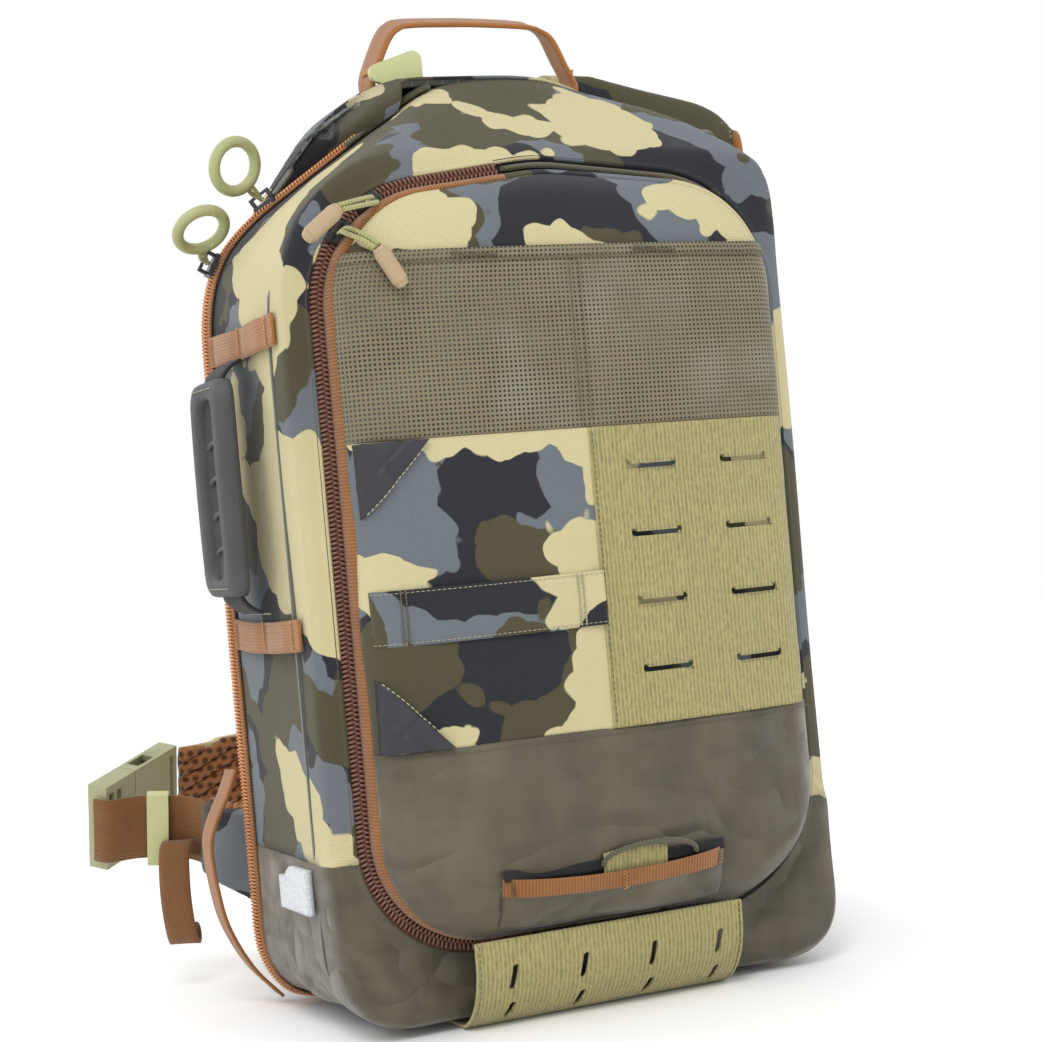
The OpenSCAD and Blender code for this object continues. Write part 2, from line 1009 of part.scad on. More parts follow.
rear_shell();
frame_sheet();
back_pad();
lumbar_pad();
main_zip_rear();
strap_root();
lower_side_strap();
front_shell();
divider_wall();
base_foam();
main_zip_front();
top_yoke();
base_panel();
lower_panels();
side_loops_left();
side_loops_right();
reflective_patch();
front_zip_inner();
flap_hinge_strip();
inner_mesh_pocket();
side_grip();
grip_tabs();
flap_shell();
front_zip_outer();
mesh_pocket();
camo_pocket();
corner_tucks();
daisy_strap();
molle_panel();
nylon_band();
lower_pocket();
pocket_trim();
label_tab();
main_slider_upper();
main_slider_lower();
main_pull_upper();
main_ring_upper();
main_pull_lower();
main_ring_lower();
front_slider_upper();
front_slider_lower();
front_pull_upper();
front_end_upper();
front_pull_lower();
front_end_lower();
haul_handle();
handle_feet();
handle_tab();
strap_pad();
strap_lining();
belt_wing_near();
belt_wing_far();
belt_linings();
belt_webbing();
buckle_female();
buckle_male();
buckle_prong_upper();
buckle_prong_lower();
belt_keeper();
webbing_tail();
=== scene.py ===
import math
import bpy
import numpy as np
from mathutils import Matrix, Vector


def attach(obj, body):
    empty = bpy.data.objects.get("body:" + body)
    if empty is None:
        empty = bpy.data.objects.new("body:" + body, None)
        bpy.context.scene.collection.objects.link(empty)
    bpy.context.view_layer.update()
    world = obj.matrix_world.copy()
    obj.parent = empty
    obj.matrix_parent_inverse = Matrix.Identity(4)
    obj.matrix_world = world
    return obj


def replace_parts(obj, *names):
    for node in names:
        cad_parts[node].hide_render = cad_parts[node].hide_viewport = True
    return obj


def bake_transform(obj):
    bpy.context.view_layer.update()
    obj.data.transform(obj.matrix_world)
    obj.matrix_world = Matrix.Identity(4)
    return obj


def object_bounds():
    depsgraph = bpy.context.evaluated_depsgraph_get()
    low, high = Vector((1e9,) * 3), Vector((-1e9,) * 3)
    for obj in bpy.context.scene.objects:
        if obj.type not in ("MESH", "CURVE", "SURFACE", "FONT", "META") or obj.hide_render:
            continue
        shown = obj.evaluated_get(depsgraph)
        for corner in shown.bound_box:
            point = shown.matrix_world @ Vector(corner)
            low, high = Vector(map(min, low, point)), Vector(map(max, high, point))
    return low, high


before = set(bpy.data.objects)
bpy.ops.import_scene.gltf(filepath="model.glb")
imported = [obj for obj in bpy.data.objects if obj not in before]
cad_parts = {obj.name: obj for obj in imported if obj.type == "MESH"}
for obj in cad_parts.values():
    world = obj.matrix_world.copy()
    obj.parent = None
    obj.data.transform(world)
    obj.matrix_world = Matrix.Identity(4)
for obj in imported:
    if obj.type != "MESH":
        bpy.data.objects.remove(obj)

CAD_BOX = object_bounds()
MM = 0.001

# ---------------------------------------------------------------- camera and light
CAM_AT = (-0.474, -1.0916, 0.243)
CAM_TURN, CAM_DIP, CAM_ROLL = math.radians(25), math.radians(0.5), math.radians(5)
LENS_MM, SENSOR_MM, SHIFT = 76.5, 36, (-0.052, 0.023)


def make_camera():
    """The photo's view, rolled because the pack leans in the photo and stands upright here."""
    fwd = Vector((math.sin(CAM_TURN) * math.cos(CAM_DIP), math.cos(CAM_TURN) * math.cos(CAM_DIP),
                  -math.sin(CAM_DIP)))
    right = Vector((math.cos(CAM_TURN), -math.sin(CAM_TURN), 0))
    up = right.cross(fwd)
    r = right * math.cos(CAM_ROLL) - up * math.sin(CAM_ROLL)
    u = right * math.sin(CAM_ROLL) + up * math.cos(CAM_ROLL)
    cam = bpy.data.objects.new("camera", bpy.data.cameras.new("camera"))
    cam.data.lens, cam.data.sensor_width = LENS_MM, SENSOR_MM
    cam.data.shift_x, cam.data.shift_y = SHIFT
    m = Matrix((r, u, -fwd)).transposed().to_4x4()
    m.translation = CAM_AT
    cam.matrix_world = m
    bpy.context.collection.objects.link(cam)
    bpy.context.scene.camera = cam


def area_light(name, at, size, power):
    """A round light aimed at the middle of the pack."""
    light = bpy.data.lights.new(name, "AREA")
    light.shape, light.size, light.energy = "DISK", size, power
    ob = bpy.data.objects.new(name, light)
    ob.location = at
    ob.rotation_euler = (Vector((0, 0, 0.22)) - Vector(at)).to_track_quat("-Z", "Y").to_euler()
    bpy.context.collection.objects.link(ob)


def studio():
    """White surround and floor, with soft lights."""
    world = bpy.data.worlds.new("studio")
    bpy.context.scene.world = world
    world.use_nodes = True
    world.node_tree.nodes["Background"].inputs[0].default_value = (1, 1, 1, 1)
    world.node_tree.nodes["Background"].inputs[1].default_value = 1.0
    area_light("key", (-0.9, -1.5, 1.9), 0.9, 17)
    area_light("fill", (1.6, -1.4, 0.9), 1.4, 2)
    area_light("rim", (-1.2, 1.1, 1.3), 1.0, 7)
    me = bpy.data.meshes.new("floor")
    me.from_pydata([(-6, -6, 0), (6, -6, 0), (6, 6, 0), (-6, 6, 0)], [], [(0, 1, 2, 3)])
    floor = bpy.data.objects.new("floor", me)
    floor.location.z = CAD_BOX[0][2] - 0.0005
    mat = bpy.data.materials.new("floor_white")
    mat.use_nodes = True
    shader = mat.node_tree.nodes["Principled BSDF"]
    shader.inputs["Base Color"].default_value = (1.0, 1.0, 1.0, 1)
    shader.inputs["Roughness"].default_value = 1.0
    shader.inputs["Specular IOR Level"].default_value = 0.0
    me.materials.append(mat)
    bpy.context.collection.objects.link(floor)
    bpy.context.scene.view_settings.view_transform = "Standard"


# ---------------------------------------------------------------- material nodes
def srgb(r, g, b):
    """A display colour of 0 to 255 as the linear colour a shader takes."""
    return tuple(c / 12.92 if c <= 0.04045 else ((c + 0.055) / 1.055) ** 2.4
                 for c in (r / 255, g / 255, b / 255)) + (1.0,)


class Net:
    """A Principled material whose nodes are written as short calls."""

    def __init__(self, name, rough=0.8, sheen=0.0, spec=0.5):
        self.mat = bpy.data.materials.new(name)
        self.mat.use_nodes = True
        self.tree = self.mat.node_tree
        self.out = self.tree.nodes["Principled BSDF"]
        for key, value in (("Roughness", rough), ("Sheen Weight", sheen), ("Specular IOR Level", spec)):
            self.out.inputs[key].default_value = value
        self.lift = None

    def node(self, kind, *sockets, out=0, **facts):
        n = self.tree.nodes.new("ShaderNode" + kind)
        for key, value in facts.items():
            setattr(n, key, value)
        for i, s in enumerate(sockets):
            if s is not None:
                self.plug(s, n.inputs[i])
        return n.outputs[out]

    def plug(self, source, socket):
        if isinstance(source, bpy.types.NodeSocket):
            self.tree.links.new(source, socket)
        else:
            socket.default_value = source

    def math(self, op, a, b=None, c=None):
        return self.node("Math", a, b, c, operation=op)

    def mul(self, a, b):
        return self.math("MULTIPLY", a, b)

    def mul_add(self, a, b, c):
        return self.math("MULTIPLY_ADD", a, b, c)

    def sub(self, a, b):
        return self.math("SUBTRACT", a, b)

    def place(self):
        return self.node("TexCoord", out=3)

    def cloth(self):
        """Place on the fabric in metres, along and across."""
        uv = self.node("UVMap", uv_map="cloth")
        x = self.node("SeparateXYZ", uv, out=0)
        return x, x.node.outputs[1]

    def scaled(self, vector, scale, shift=(0, 0, 0)):
        n = self.tree.nodes.new("ShaderNodeMapping")
        self.plug(vector, n.inputs[0])
        n.inputs[1].default_value = shift
        n.inputs[3].default_value = scale if isinstance(scale, tuple) else (scale,) * 3
        return n.outputs[0]

    def noise(self, vector, scale, detail=2.0, rough=0.5, out=0):
        n = self.tree.nodes.new("ShaderNodeTexNoise")
        self.plug(vector, n.inputs["Vector"])
        n.inputs["Scale"].default_value = scale
        n.inputs["Detail"].default_value = detail
        n.inputs["Roughness"].default_value = rough
        return n.outputs[out]

    def grain(self, scale, detail=2.0, rough=0.5):
        """Noise over the pack itself."""
        return self.noise(self.place(), scale, detail, rough)

    def cells(self, vector, scale):
        n = self.tree.nodes.new("ShaderNodeTexVoronoi")
        self.plug(vector, n.inputs["Vector"])
        n.inputs["Scale"].default_value = scale
        return n.outputs["Distance"]

    def ramp(self, factor, low, high):
        """0 below low, 1 above high."""
        n = self.tree.nodes.new("ShaderNodeMapRange")
        self.plug(factor, n.inputs[0])
        n.inputs[1].default_value, n.inputs[2].default_value = low, high
        return n.outputs[0]

    def mix(self, factor, a, b, kind="MIX"):
        n = self.tree.nodes.new("ShaderNodeMix")
        n.data_type, n.blend_type = "RGBA", kind
        self.plug(factor, n.inputs[0])
        self.plug(a, n.inputs[6])
        self.plug(b, n.inputs[7])
        return n.outputs[2]

    def wave(self, coordinate, pitch):
        """0 to 1 and back once every pitch metres."""
        s = self.math("SINE", self.mul(coordinate, 2 * math.pi / pitch))
        return self.mul_add(s, 0.5, 0.5)

    def colour(self, value):
        self.plug(value, self.out.inputs["Base Color"])

    def rough(self, value):
        self.plug(value, self.out.inputs["Roughness"])

    def bump(self, height, depth, strength=1.0):
        n = self.tree.nodes.new("ShaderNodeBump")
        n.inputs["Strength"].default_value = strength
        n.inputs["Distance"].default_value = depth
        self.plug(height, n.inputs["Height"])
        if self.lift is not None:
            self.plug(self.lift, n.inputs["Normal"])
        self.lift = n.outputs[0]
        self.plug(self.lift, self.out.inputs["Normal"])

    def shade(self, colour, amount, factor):
        """The colour made darker by up to amount where factor is 1."""
        dark = self.mul_add(factor, -amount, 1.0)
        return self.mix(1.0, colour, self.node("CombineColor", dark, dark, dark), "MULTIPLY")


CREAM, SLATE = srgb(214, 203, 157), srgb(112, 119, 125)
CHARCOAL, OLIVE = srgb(44, 45, 51), srgb(84, 79, 57)


def twill(n, colour, pitch=0.0013, depth=0.00016, dark=0.22):
    """Gives the material n a diagonal weave over colour."""
    u, v = n.cloth()
    lines = n.wave(n.math("ADD", u, n.mul(v, 0.8)), pitch)
    cross = n.wave(n.sub(u, v), pitch * 0.62)
    weave = n.mul(lines, n.mul_add(cross, 0.35, 0.65))
    n.colour(n.shade(colour, dark, n.sub(1.0, weave)))
    n.bump(weave, depth)


def camo(name, shift, turn=1.0):
    """Printed canvas: lobed patches of four colours over a fine diagonal weave."""
    n = Net(name, rough=0.86, sheen=0.12, spec=0.25)
    at = n.scaled(n.place(), (turn, 1.0, 1.0), shift)
    warp = n.node("VectorMath", n.noise(at, 60, 1.0, out=1), (0.5, 0.5, 0.5), operation="SUBTRACT")
    warp = n.node("VectorMath", warp, (0.007, 0.007, 0.007), operation="MULTIPLY")
    at = n.node("VectorMath", at, warp, operation="ADD")

    def patches(scale, off):
        here = n.scaled(at, 1.0, off)
        return n.mul_add(n.cells(here, 66), -0.11, n.noise(here, scale, 0.4))

    colour = n.mix(n.ramp(patches(18.0, (0.2, 0.1, 0.3)), 0.434, 0.440), CHARCOAL, SLATE)
    colour = n.mix(n.ramp(patches(16.5, (3.1, 1.7, 5.2)), 0.474, 0.480), colour, OLIVE)
    colour = n.mix(n.ramp(patches(17.0, (7.4, 2.9, 0.6)), 0.483, 0.489), colour, CREAM)
    fade = n.noise(at, 9, 3.0)
    twill(n, n.shade(colour, 0.16, fade))
    n.bump(n.grain(38, 2.0), 0.0007)
    return n.mat


def dark_fabric():
    """Near-black canvas."""
    n = Net("dark_canvas", rough=0.88, sheen=0.15, spec=0.2)
    twill(n, n.mix(n.grain(40, 3.0), srgb(36, 36, 38), srgb(50, 49, 50)), 0.0011, 0.00014, 0.35)
    return n.mat


def satin():
    """Coated nylon with a soft sheen and small crush marks; its colour carries painted highlight on the raised
    crush and painted shade in the dips.
    """
    n = Net("satin_nylon", rough=0.46, sheen=0.25, spec=0.45)
    crush_and_sheen = n.noise(n.scaled(n.place(), (1.0, 1.0, 0.45)), 34, 3.0, 0.55)
    # painted highlight and shade: the base colour is lighter where the crush is raised and darker where it dips
    n.colour(n.mix(n.ramp(crush_and_sheen, 0.35, 0.7), srgb(72, 65, 49), srgb(92, 84, 65)))
    n.rough(n.mul_add(n.grain(90, 2.0), 0.22, 0.36))
    u, v = n.cloth()
    n.bump(n.mul(n.wave(u, 0.0006), n.wave(v, 0.0006)), 0.00006)
    folds = n.noise(n.scaled(n.place(), (0.5, 0.5, 1.0)), 26, 2.0, 0.5)
    n.bump(n.math("ABSOLUTE", n.sub(folds, 0.5)), 0.035, 0.8)
    n.bump(crush_and_sheen, 0.003, 0.9)
    n.bump(n.grain(120, 2.0), 0.0003)
    return n.mat


def khaki_rib():
    """Laminated knit with upright ribs, fuzzy between them."""
    n = Net("khaki_laminate", rough=0.9, sheen=0.25, spec=0.2)
    u = n.cloth()[0]
    fuzz = n.noise(n.scaled(n.place(), (1.0, 1.0, 0.5)), 620, 3.0, 0.7)
    wobble = n.mul_add(n.grain(150, 1.0), 0.0009, u)
    rib = n.wave(wobble, 0.0023)
    colour = n.mix(n.ramp(n.mul_add(fuzz, 0.9, n.mul(rib, 0.34)), 0.3, 0.95),
                   srgb(136, 127, 78), srgb(190, 180, 124))
    n.colour(n.shade(colour, 0.12, n.grain(12, 2.0)))
    n.bump(rib, 0.0006)
    n.bump(fuzz, 0.0007)
    return n.mat


def perforated():
    """Mesh cloth: a straight grid of small holes in its colour, showing a mottled cloth behind that is darkened as
    painted shade.
    """
    n = Net("mesh_cloth", rough=0.72, sheen=0.15, spec=0.35)
    u, v = n.cloth()
    pitch = 0.00235
    dot = n.mul(n.wave(u, pitch), n.wave(v, pitch))
    hole = n.ramp(dot, 0.36, 0.62)
    behind = n.grain(26, 1.0)
    # painted shade: the cloth seen through the holes, much darker than that cloth is
    back = n.mix(n.ramp(behind, 0.42, 0.58), srgb(24, 24, 26), srgb(58, 60, 60))
    thread = n.mix(n.grain(30, 2.0), srgb(108, 99, 76), srgb(128, 119, 92))
    sheer = n.ramp(n.noise(n.scaled(n.place(), 1.0, (2, 5, 1)), 21, 1.0), 0.55, 0.7)
    thread = n.mix(n.mul(sheer, 0.35), thread, srgb(140, 140, 128))
    n.colour(n.mix(hole, thread, back))
    n.bump(n.sub(1.0, hole), 0.0004)
    return n.mat


def webbing_mat(name, light, dark, rib=0.0016):
    """Woven narrow webbing with fine chevrons along it."""
    n = Net(name, rough=0.72, sheen=0.3, spec=0.35)
    u, v = n.cloth()
    fine = n.wave(v, rib)
    zig = n.wave(n.math("ADD", u, n.mul(n.math("PINGPONG", v, rib), 1.2)), 0.0012)
    weave = n.mul_add(fine, 0.55, n.mul(zig, 0.45))
    tone = n.mix(n.grain(45, 3.0), light, dark)
    n.colour(n.shade(tone, 0.42, n.sub(1.0, weave)))
    n.bump(weave, 0.0003)
    return n.mat


def grosgrain(name, light, dark):
    """Narrow binding whose ribs run across it."""
    n = Net(name, rough=0.7, sheen=0.3, spec=0.35)
    rib = n.wave(n.mul_add(n.grain(300, 1.0), 0.0004, n.cloth()[0]), 0.0017)
    n.colour(n.shade(n.mix(n.grain(60, 3.0), light, dark), 0.4, n.sub(1.0, rib)))
    n.bump(rib, 0.0004)
    return n.mat


def air_mesh():
    """Spacer mesh with a honeycomb of pits, painted darker as shade in them."""
    n = Net("air_mesh", rough=0.85, sheen=0.3, spec=0.25)
    u, v = n.cloth()
    row = n.math("DIVIDE", v, 0.0052)
    shift = n.mul(n.math("MODULO", n.math("FLOOR", row), 2.0), 0.5)
    col = n.math("ADD", n.math("DIVIDE", u, 0.0062), shift)
    a = n.sub(n.math("FRACT", col), 0.5)
    b = n.sub(n.math("FRACT", row), 0.5)
    r = n.math("SQRT", n.math("ADD", n.mul(a, a), n.mul(b, b)))
    shaded_pit = n.ramp(r, 0.42, 0.2)
    knit = n.grain(900, 2.0, 0.6)
    # painted shade: the pits are coloured darker than the knit around them
    colour = n.mix(shaded_pit, srgb(172, 114, 68), srgb(92, 56, 33))
    n.colour(n.shade(colour, 0.35, knit))
    n.bump(n.sub(1.0, shaded_pit), 0.0007)
    n.bump(knit, 0.0003)
    return n.mat


def moulded(name, light, dark, rough=0.5, grain=700, depth=0.00008, spec=0.45):
    """Moulded plastic or rubber with a fine grain and paler convex edges."""
    n = Net(name, rough=rough, spec=spec)
    # the colour is made paler on convex edges
    convex_edges = n.ramp(n.node("NewGeometry", out=7), 0.51, 0.58)
    tone = n.mix(n.grain(30, 3.0), dark, light)
    pale = tuple(min(1.0, c * 1.5) for c in light[:3]) + (1.0,)
    n.colour(n.mix(n.mul(convex_edges, 0.6), tone, pale))
    n.rough(n.mul_add(n.grain(110, 3.0), 0.2, rough - 0.1))
    n.bump(n.grain(grain, 2.0), depth)
    return n.mat


def cord_mat(name, light, dark):
    """Braided cord."""
    n = Net(name, rough=0.75, sheen=0.3, spec=0.3)
    u, v = n.cloth()
    braid = n.math("MAXIMUM", n.wave(n.math("ADD", u, v), 0.0022), n.wave(n.sub(u, v), 0.0022))
    n.colour(n.mix(braid, dark, light))
    n.bump(braid, 0.0003)
    return n.mat


def coated():
    """Black coated cloth of the corner tucks: smooth, faintly grained."""
    n = Net("coated_black", rough=0.5, spec=0.4)
    n.colour(n.mix(n.grain(80, 3.0), srgb(38, 38, 42), srgb(54, 54, 60)))
    n.bump(n.grain(900, 2.0), 0.00012)
    n.bump(n.grain(50, 2.0), 0.0012)
    return n.mat


def reflective():
    """Grey beaded print."""
    n = Net("reflective_print", rough=0.35, spec=0.6)
    bead = n.cells(n.place(), 900)
    n.colour(n.mix(n.ramp(bead, 0.2, 0.8), srgb(214, 217, 222), srgb(182, 186, 192)))
    n.bump(bead, 0.0001)
    return n.mat


def lining():
    """Pack lining with a fine woven check."""
    n = Net("pack_lining", rough=0.6, sheen=0.2, spec=0.3)
    u, v = n.cloth()
    check = n.math("MAXIMUM", n.ramp(n.wave(u, 0.006), 0.93, 1.0), n.ramp(n.wave(v, 0.006), 0.93, 1.0))
    n.colour(n.mix(check, n.mix(n.grain(20, 3.0), srgb(84, 86, 82), srgb(104, 106, 100)),
                   srgb(126, 128, 120)))
    n.bump(check, 0.0002)
    n.bump(n.grain(30, 2.0), 0.0015)
    return n.mat


def foam():
    """Dark open foam."""
    n = Net("dark_foam", rough=0.95, spec=0.15)
    shaded_pores = n.cells(n.place(), 700)
    # painted shade: darker where the pores sink
    n.colour(n.mix(n.ramp(shaded_pores, 0.1, 0.7), srgb(26, 26, 28), srgb(54, 54, 56)))
    n.bump(shaded_pores, 0.0004)
    return n.mat


def thread(name, colour):
    """Sewing thread."""
    n = Net(name, rough=0.6, sheen=0.2, spec=0.4)
    n.colour(n.shade(colour, 0.3, n.grain(1200, 1.0)))
    return n.mat


COPPER, COPPER_DARK = srgb(180, 116, 48), srgb(148, 92, 36)
M = {
    "camo_front": camo("camo_front", (0.0, 0.0, 0.0)),
    "camo_flap": camo("camo_flap", (2.3, 0.4, 1.1)),
    "camo_pocket": camo("camo_pocket", (5.1, 1.2, 0.3), -1.0),
    "camo_strap": camo("camo_strap", (7.7, 3.2, 2.3)),
    "camo_rear": camo("camo_rear", (1.3, 6.4, 4.1)),
    "dark": dark_fabric(),
    "satin": satin(),
    "khaki": khaki_rib(),
    "mesh": perforated(),
    "copper": webbing_mat("copper_webbing", COPPER, COPPER_DARK),
    "brown": webbing_mat("brown_webbing", srgb(146, 94, 42), srgb(118, 74, 32)),
    "binding": grosgrain("copper_binding", srgb(170, 110, 48), srgb(140, 86, 36)),
    "tape": webbing_mat("zip_tape", srgb(120, 78, 52), srgb(84, 56, 44), 0.0012),
    "coil": moulded("zip_coil", srgb(110, 76, 62), srgb(66, 45, 40), 0.3),
    "coil_light": moulded("main_zip_coil", srgb(190, 132, 84), srgb(132, 82, 50), 0.4),
    "air": air_mesh(),
    "buckle": moulded("olive_plastic", srgb(146, 146, 112), srgb(128, 128, 96), 0.42),
    "metal": moulded("black_slider", srgb(34, 34, 36), srgb(22, 22, 24), 0.32, spec=0.6),
    "grip": moulded("dark_rubber", srgb(72, 72, 74), srgb(52, 52, 55), 0.6, 500, 0.00016),
    "sage": moulded("sage_rubber", srgb(172, 174, 126), srgb(150, 153, 106), 0.5),
    "tan": moulded("tan_rubber", srgb(170, 148, 116), srgb(150, 128, 98), 0.5),
    "cord": cord_mat("khaki_cord", srgb(182, 180, 120), srgb(110, 108, 66)),
    "dark_cord": cord_mat("olive_cord", srgb(96, 92, 70), srgb(52, 50, 36)),
    "coated": coated(),
    "reflective": reflective(),
    "lining": lining(),
    "foam": foam(),
    "black_thread": thread("black_thread", srgb(40, 40, 42)),
    "pale_thread": thread("pale_thread", srgb(176, 170, 140)),
    "olive_thread": thread("olive_thread", srgb(96, 92, 66)),
    "copper_thread": thread("copper_thread", srgb(208, 150, 84)),
    "sheet": moulded("sheet_plastic", srgb(40, 40, 42), srgb(28, 28, 30), 0.5),
}


# ---------------------------------------------------------------- mesh helpers (millimetres)
def unit(v):
    return v / (np.linalg.norm(v, axis=-1, keepdims=True) + 1e-9)


def run_length(p):
    """How far along the path p each of its points lies."""
    return np.concatenate([[0], np.cumsum(np.linalg.norm(np.diff(p, axis=0), axis=1))])


def upright(q, y):
    """The points (x, z) of q, put at depth y."""
    return np.stack([q[..., 0], np.broadcast_to(y, q.shape[:-1]), q[..., 1]], axis=-1)


def add(name, verts, faces, mat, body, uv=None, smooth=True, second=None):
    """A mesh piece from points in mm. uv holds one pair in mm for each corner of each face."""
    me = bpy.data.meshes.new(name)
    me.from_pydata((np.asarray(verts, float) * MM).tolist(), [], faces)
    if uv is not None:
        layer = me.uv_layers.new(name="cloth")
        layer.data.foreach_set("uv", (np.asarray(uv, float) * MM).ravel())
    me.materials.append(M[mat])
    if second:
        me.materials.append(M[second])
    me.polygons.foreach_set("use_smooth", [smooth] * len(me.polygons))
    ob = bpy.data.objects.new(name, me)
    bpy.context.collection.objects.link(ob)
    if body:
        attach(ob, body)
    return ob


def grid(name, p, mat, body, thick=0.0, out=(0, 0, 250), wrap=False, second=None, keep=None):
    """A sheet over the points p[i][j]. It faces away from the point out, and thick goes inwards."""
    p = np.asarray(p, float)
    n, m = p.shape[:2]
    rows = n if wrap else n - 1
    q = np.concatenate([p, p[:1]]) if wrap else p
    du = np.concatenate([np.zeros((1, m)), np.cumsum(np.linalg.norm(np.diff(q, axis=0), axis=2), axis=0)])
    du = np.repeat(du.mean(axis=1)[:, None], m, axis=1)
    step = np.linalg.norm(np.diff(q, axis=1), axis=2)
    dv = np.concatenate([np.zeros((len(q), 1)), np.cumsum(step, axis=1)], axis=1)
    dv -= dv[:, m // 2][:, None]
    i, j = np.meshgrid(np.arange(rows), np.arange(m - 1), indexing="ij")
    i, j = i.ravel(), j.ravel()
    if keep is not None:
        i, j = i[keep[i, j]], j[keep[i, j]]
    corners = [(i, j), (i + 1, j), (i + 1, j + 1), (i, j + 1)]
    face_n = np.cross(q[i + 1, j] - q[i, j], q[i, j + 1] - q[i, j])
    if (face_n * (q[i, j] - np.asarray(out, float))).sum() < 0:
        corners.reverse()
    faces = np.stack([(a % n) * m + b for a, b in corners], axis=1)
    uv = np.stack([np.stack([du[a, b], dv[a, b]], axis=1) for a, b in corners], axis=1)
    ob = add(name, p.reshape(-1, 3), faces.tolist(), mat, body, uv.reshape(-1, 2), second=second)
    if thick:
        mod = ob.modifiers.new("thickness", "SOLIDIFY")
        mod.thickness, mod.offset, mod.use_even_offset = thick * MM, -1, False
        mod.material_offset = 1 if second else 0
    return ob


def normals(p):
    """Unit normals of the grid p, facing away from the middle of the pack."""
    n = unit(np.cross(np.gradient(p, axis=0), np.gradient(p, axis=1)))
    flip = np.where((n * (p - np.array([0, 0, 250.0]))).sum(axis=2) < 0, -1.0, 1.0)
    return n * flip[..., None]


def swept(v, length, k, across):
    """Mesh data of a skin over rings of k points with capped ends; across(i, j) is an edge's cloth span."""
    n = len(length)
    faces, uv = [], []
    for i in range(n - 1):
        for j in range(k):
            a, b = i * k, (j + 1) % k
            faces.append((a + j, a + b, a + k + b, a + k + j))
            w0, w1 = across(i, j)
            uv += [(length[i], w0), (length[i], w1), (length[i + 1], w1), (length[i + 1], w0)]
    faces += [tuple(range(k - 1, -1, -1)), tuple((n - 1) * k + j for j in range(k))]
    return v, faces, uv + [(0, 0)] * (2 * k)


def tube(name, path, r, mat, body, sides=10, taper=None, add_to=None):
    """A round tube through the points. With a list in add_to its mesh data goes there and no piece is made."""
    p = np.asarray(path, float)
    n = len(p)
    t = unit(np.gradient(p, axis=0))
    up = np.cross(t[0], (0.3, 0.9, 0.31))
    frames = []
    for k in range(n):
        up = unit(up - t[k] * (up @ t[k]))
        frames.append((up, np.cross(t[k], up)))
    radius = np.full(n, float(r)) if taper is None else np.asarray(taper, float) * r
    ang = np.linspace(0, 2 * math.pi, sides, endpoint=False)
    v = [p[k] + radius[k] * (math.cos(a) * frames[k][0] + math.sin(a) * frames[k][1])
         for k in range(n) for a in ang]
    span = 2 * math.pi * r / sides
    data = swept(v, run_length(p), sides, lambda i, j: (j * span, (j + 1) * span))
    if add_to is None:
        return add(name, data[0], data[1], mat, body, data[2])
    base = sum(len(x[0]) for x in add_to)
    add_to.append((v, [tuple(i + base for i in f) for f in data[1]], data[2]))


def merged(name, parts, mat, body):
    """One piece from several sets of mesh data."""
    v, f, uv = ([x for p in parts for x in p[k]] for k in range(3))
    return add(name, v, f, mat, body, uv)


def band(name, path, side, width, thick, mat, body):
    """Flat webbing along a path; side is its width direction at each point, and its edges are raised."""
    p = np.asarray(path, float)
    t = unit(np.gradient(p, axis=0))
    s = np.broadcast_to(np.asarray(side, float), p.shape)
    s = unit(s - t * (s * t).sum(1)[:, None])
    up = np.cross(t, s)
    half, h = width / 2, thick / 2
    prof = [(-1, 0.35), (-0.96, 1.0), (-0.5, 0.86), (0, 0.82), (0.5, 0.86), (0.96, 1.0), (1, 0.35)]
    ring = prof + [(a, -b) for a, b in reversed(prof)]
    k = len(ring)
    v = [p[i] + s[i] * a * half + up[i] * b * h for i in range(len(p)) for a, b in ring]
    v, faces, uv = swept(v, run_length(p), k, lambda i, j: (ring[j][0] * half, ring[(j + 1) % k][0] * half))
    return add(name, v, faces, mat, body, uv)


def resample(path, step):
    """The path with its points about step apart."""
    p = np.asarray(path, float)
    d = run_length(p)
    x = np.linspace(0, d[-1], max(2, int(round(d[-1] / step)) + 1))
    return np.stack([np.interp(x, d, p[:, k]) for k in range(3)], axis=1)


def spline(points, n=40):
    """A smooth path of n points through the given ones."""
    p = np.asarray(points, float)
    ext = np.vstack([2 * p[0] - p[1], p, 2 * p[-1] - p[-2]])
    out = []
    segs = len(p) - 1
    for x in np.linspace(0, segs, n):
        i = min(int(x), segs - 1)
        t = x - i
        a, b, c, d = ext[i:i + 4]
        out.append(0.5 * ((2 * b) + (c - a) * t + (2 * a - 5 * b + 4 * c - d) * t * t
                          + (3 * b - a - 3 * c + d) * t ** 3))
    return np.array(out)


def stitches(name, path, body, mat="black_thread", pitch=3.2, length=2.3, r=0.38, lift=(0, 0, 0)):
    """A row of thread stitches along a path, each a short round bead sunk at its ends."""
    p = resample(path, pitch) + np.asarray(lift, float)
    parts = []
    for a, b in zip(p[:-1], p[1:]):
        pts = [(a + b) / 2 + unit(b - a) * length * x for x in (-0.5, -0.25, 0.25, 0.5)]
        tube("", pts, r, mat, body, 5, taper=(0.35, 1, 1, 0.35), add_to=parts)
    return merged(name, parts, mat, body)


def bartack(name, at, along, across, body, length=16, width=3, mat="olive_thread", r=0.4):
    """A dense zigzag of thread."""
    at, along, across = (np.asarray(v, float) for v in (at, along, across))
    n = int(length / 0.9)
    pts = [at + unit(along) * (length * (k / n - 0.5)) + unit(across) * width * (0.5 if k % 2 else -0.5)
           for k in range(n + 1)]
    tube(name, pts, r, mat, body, 5)


def along_path(values, n):
    """The rows of values spread over n rows."""
    x, old = np.linspace(0, 1, n), np.linspace(0, 1, len(values))
    return np.stack([np.interp(x, old, values[:, c]) for c in range(3)], axis=1)


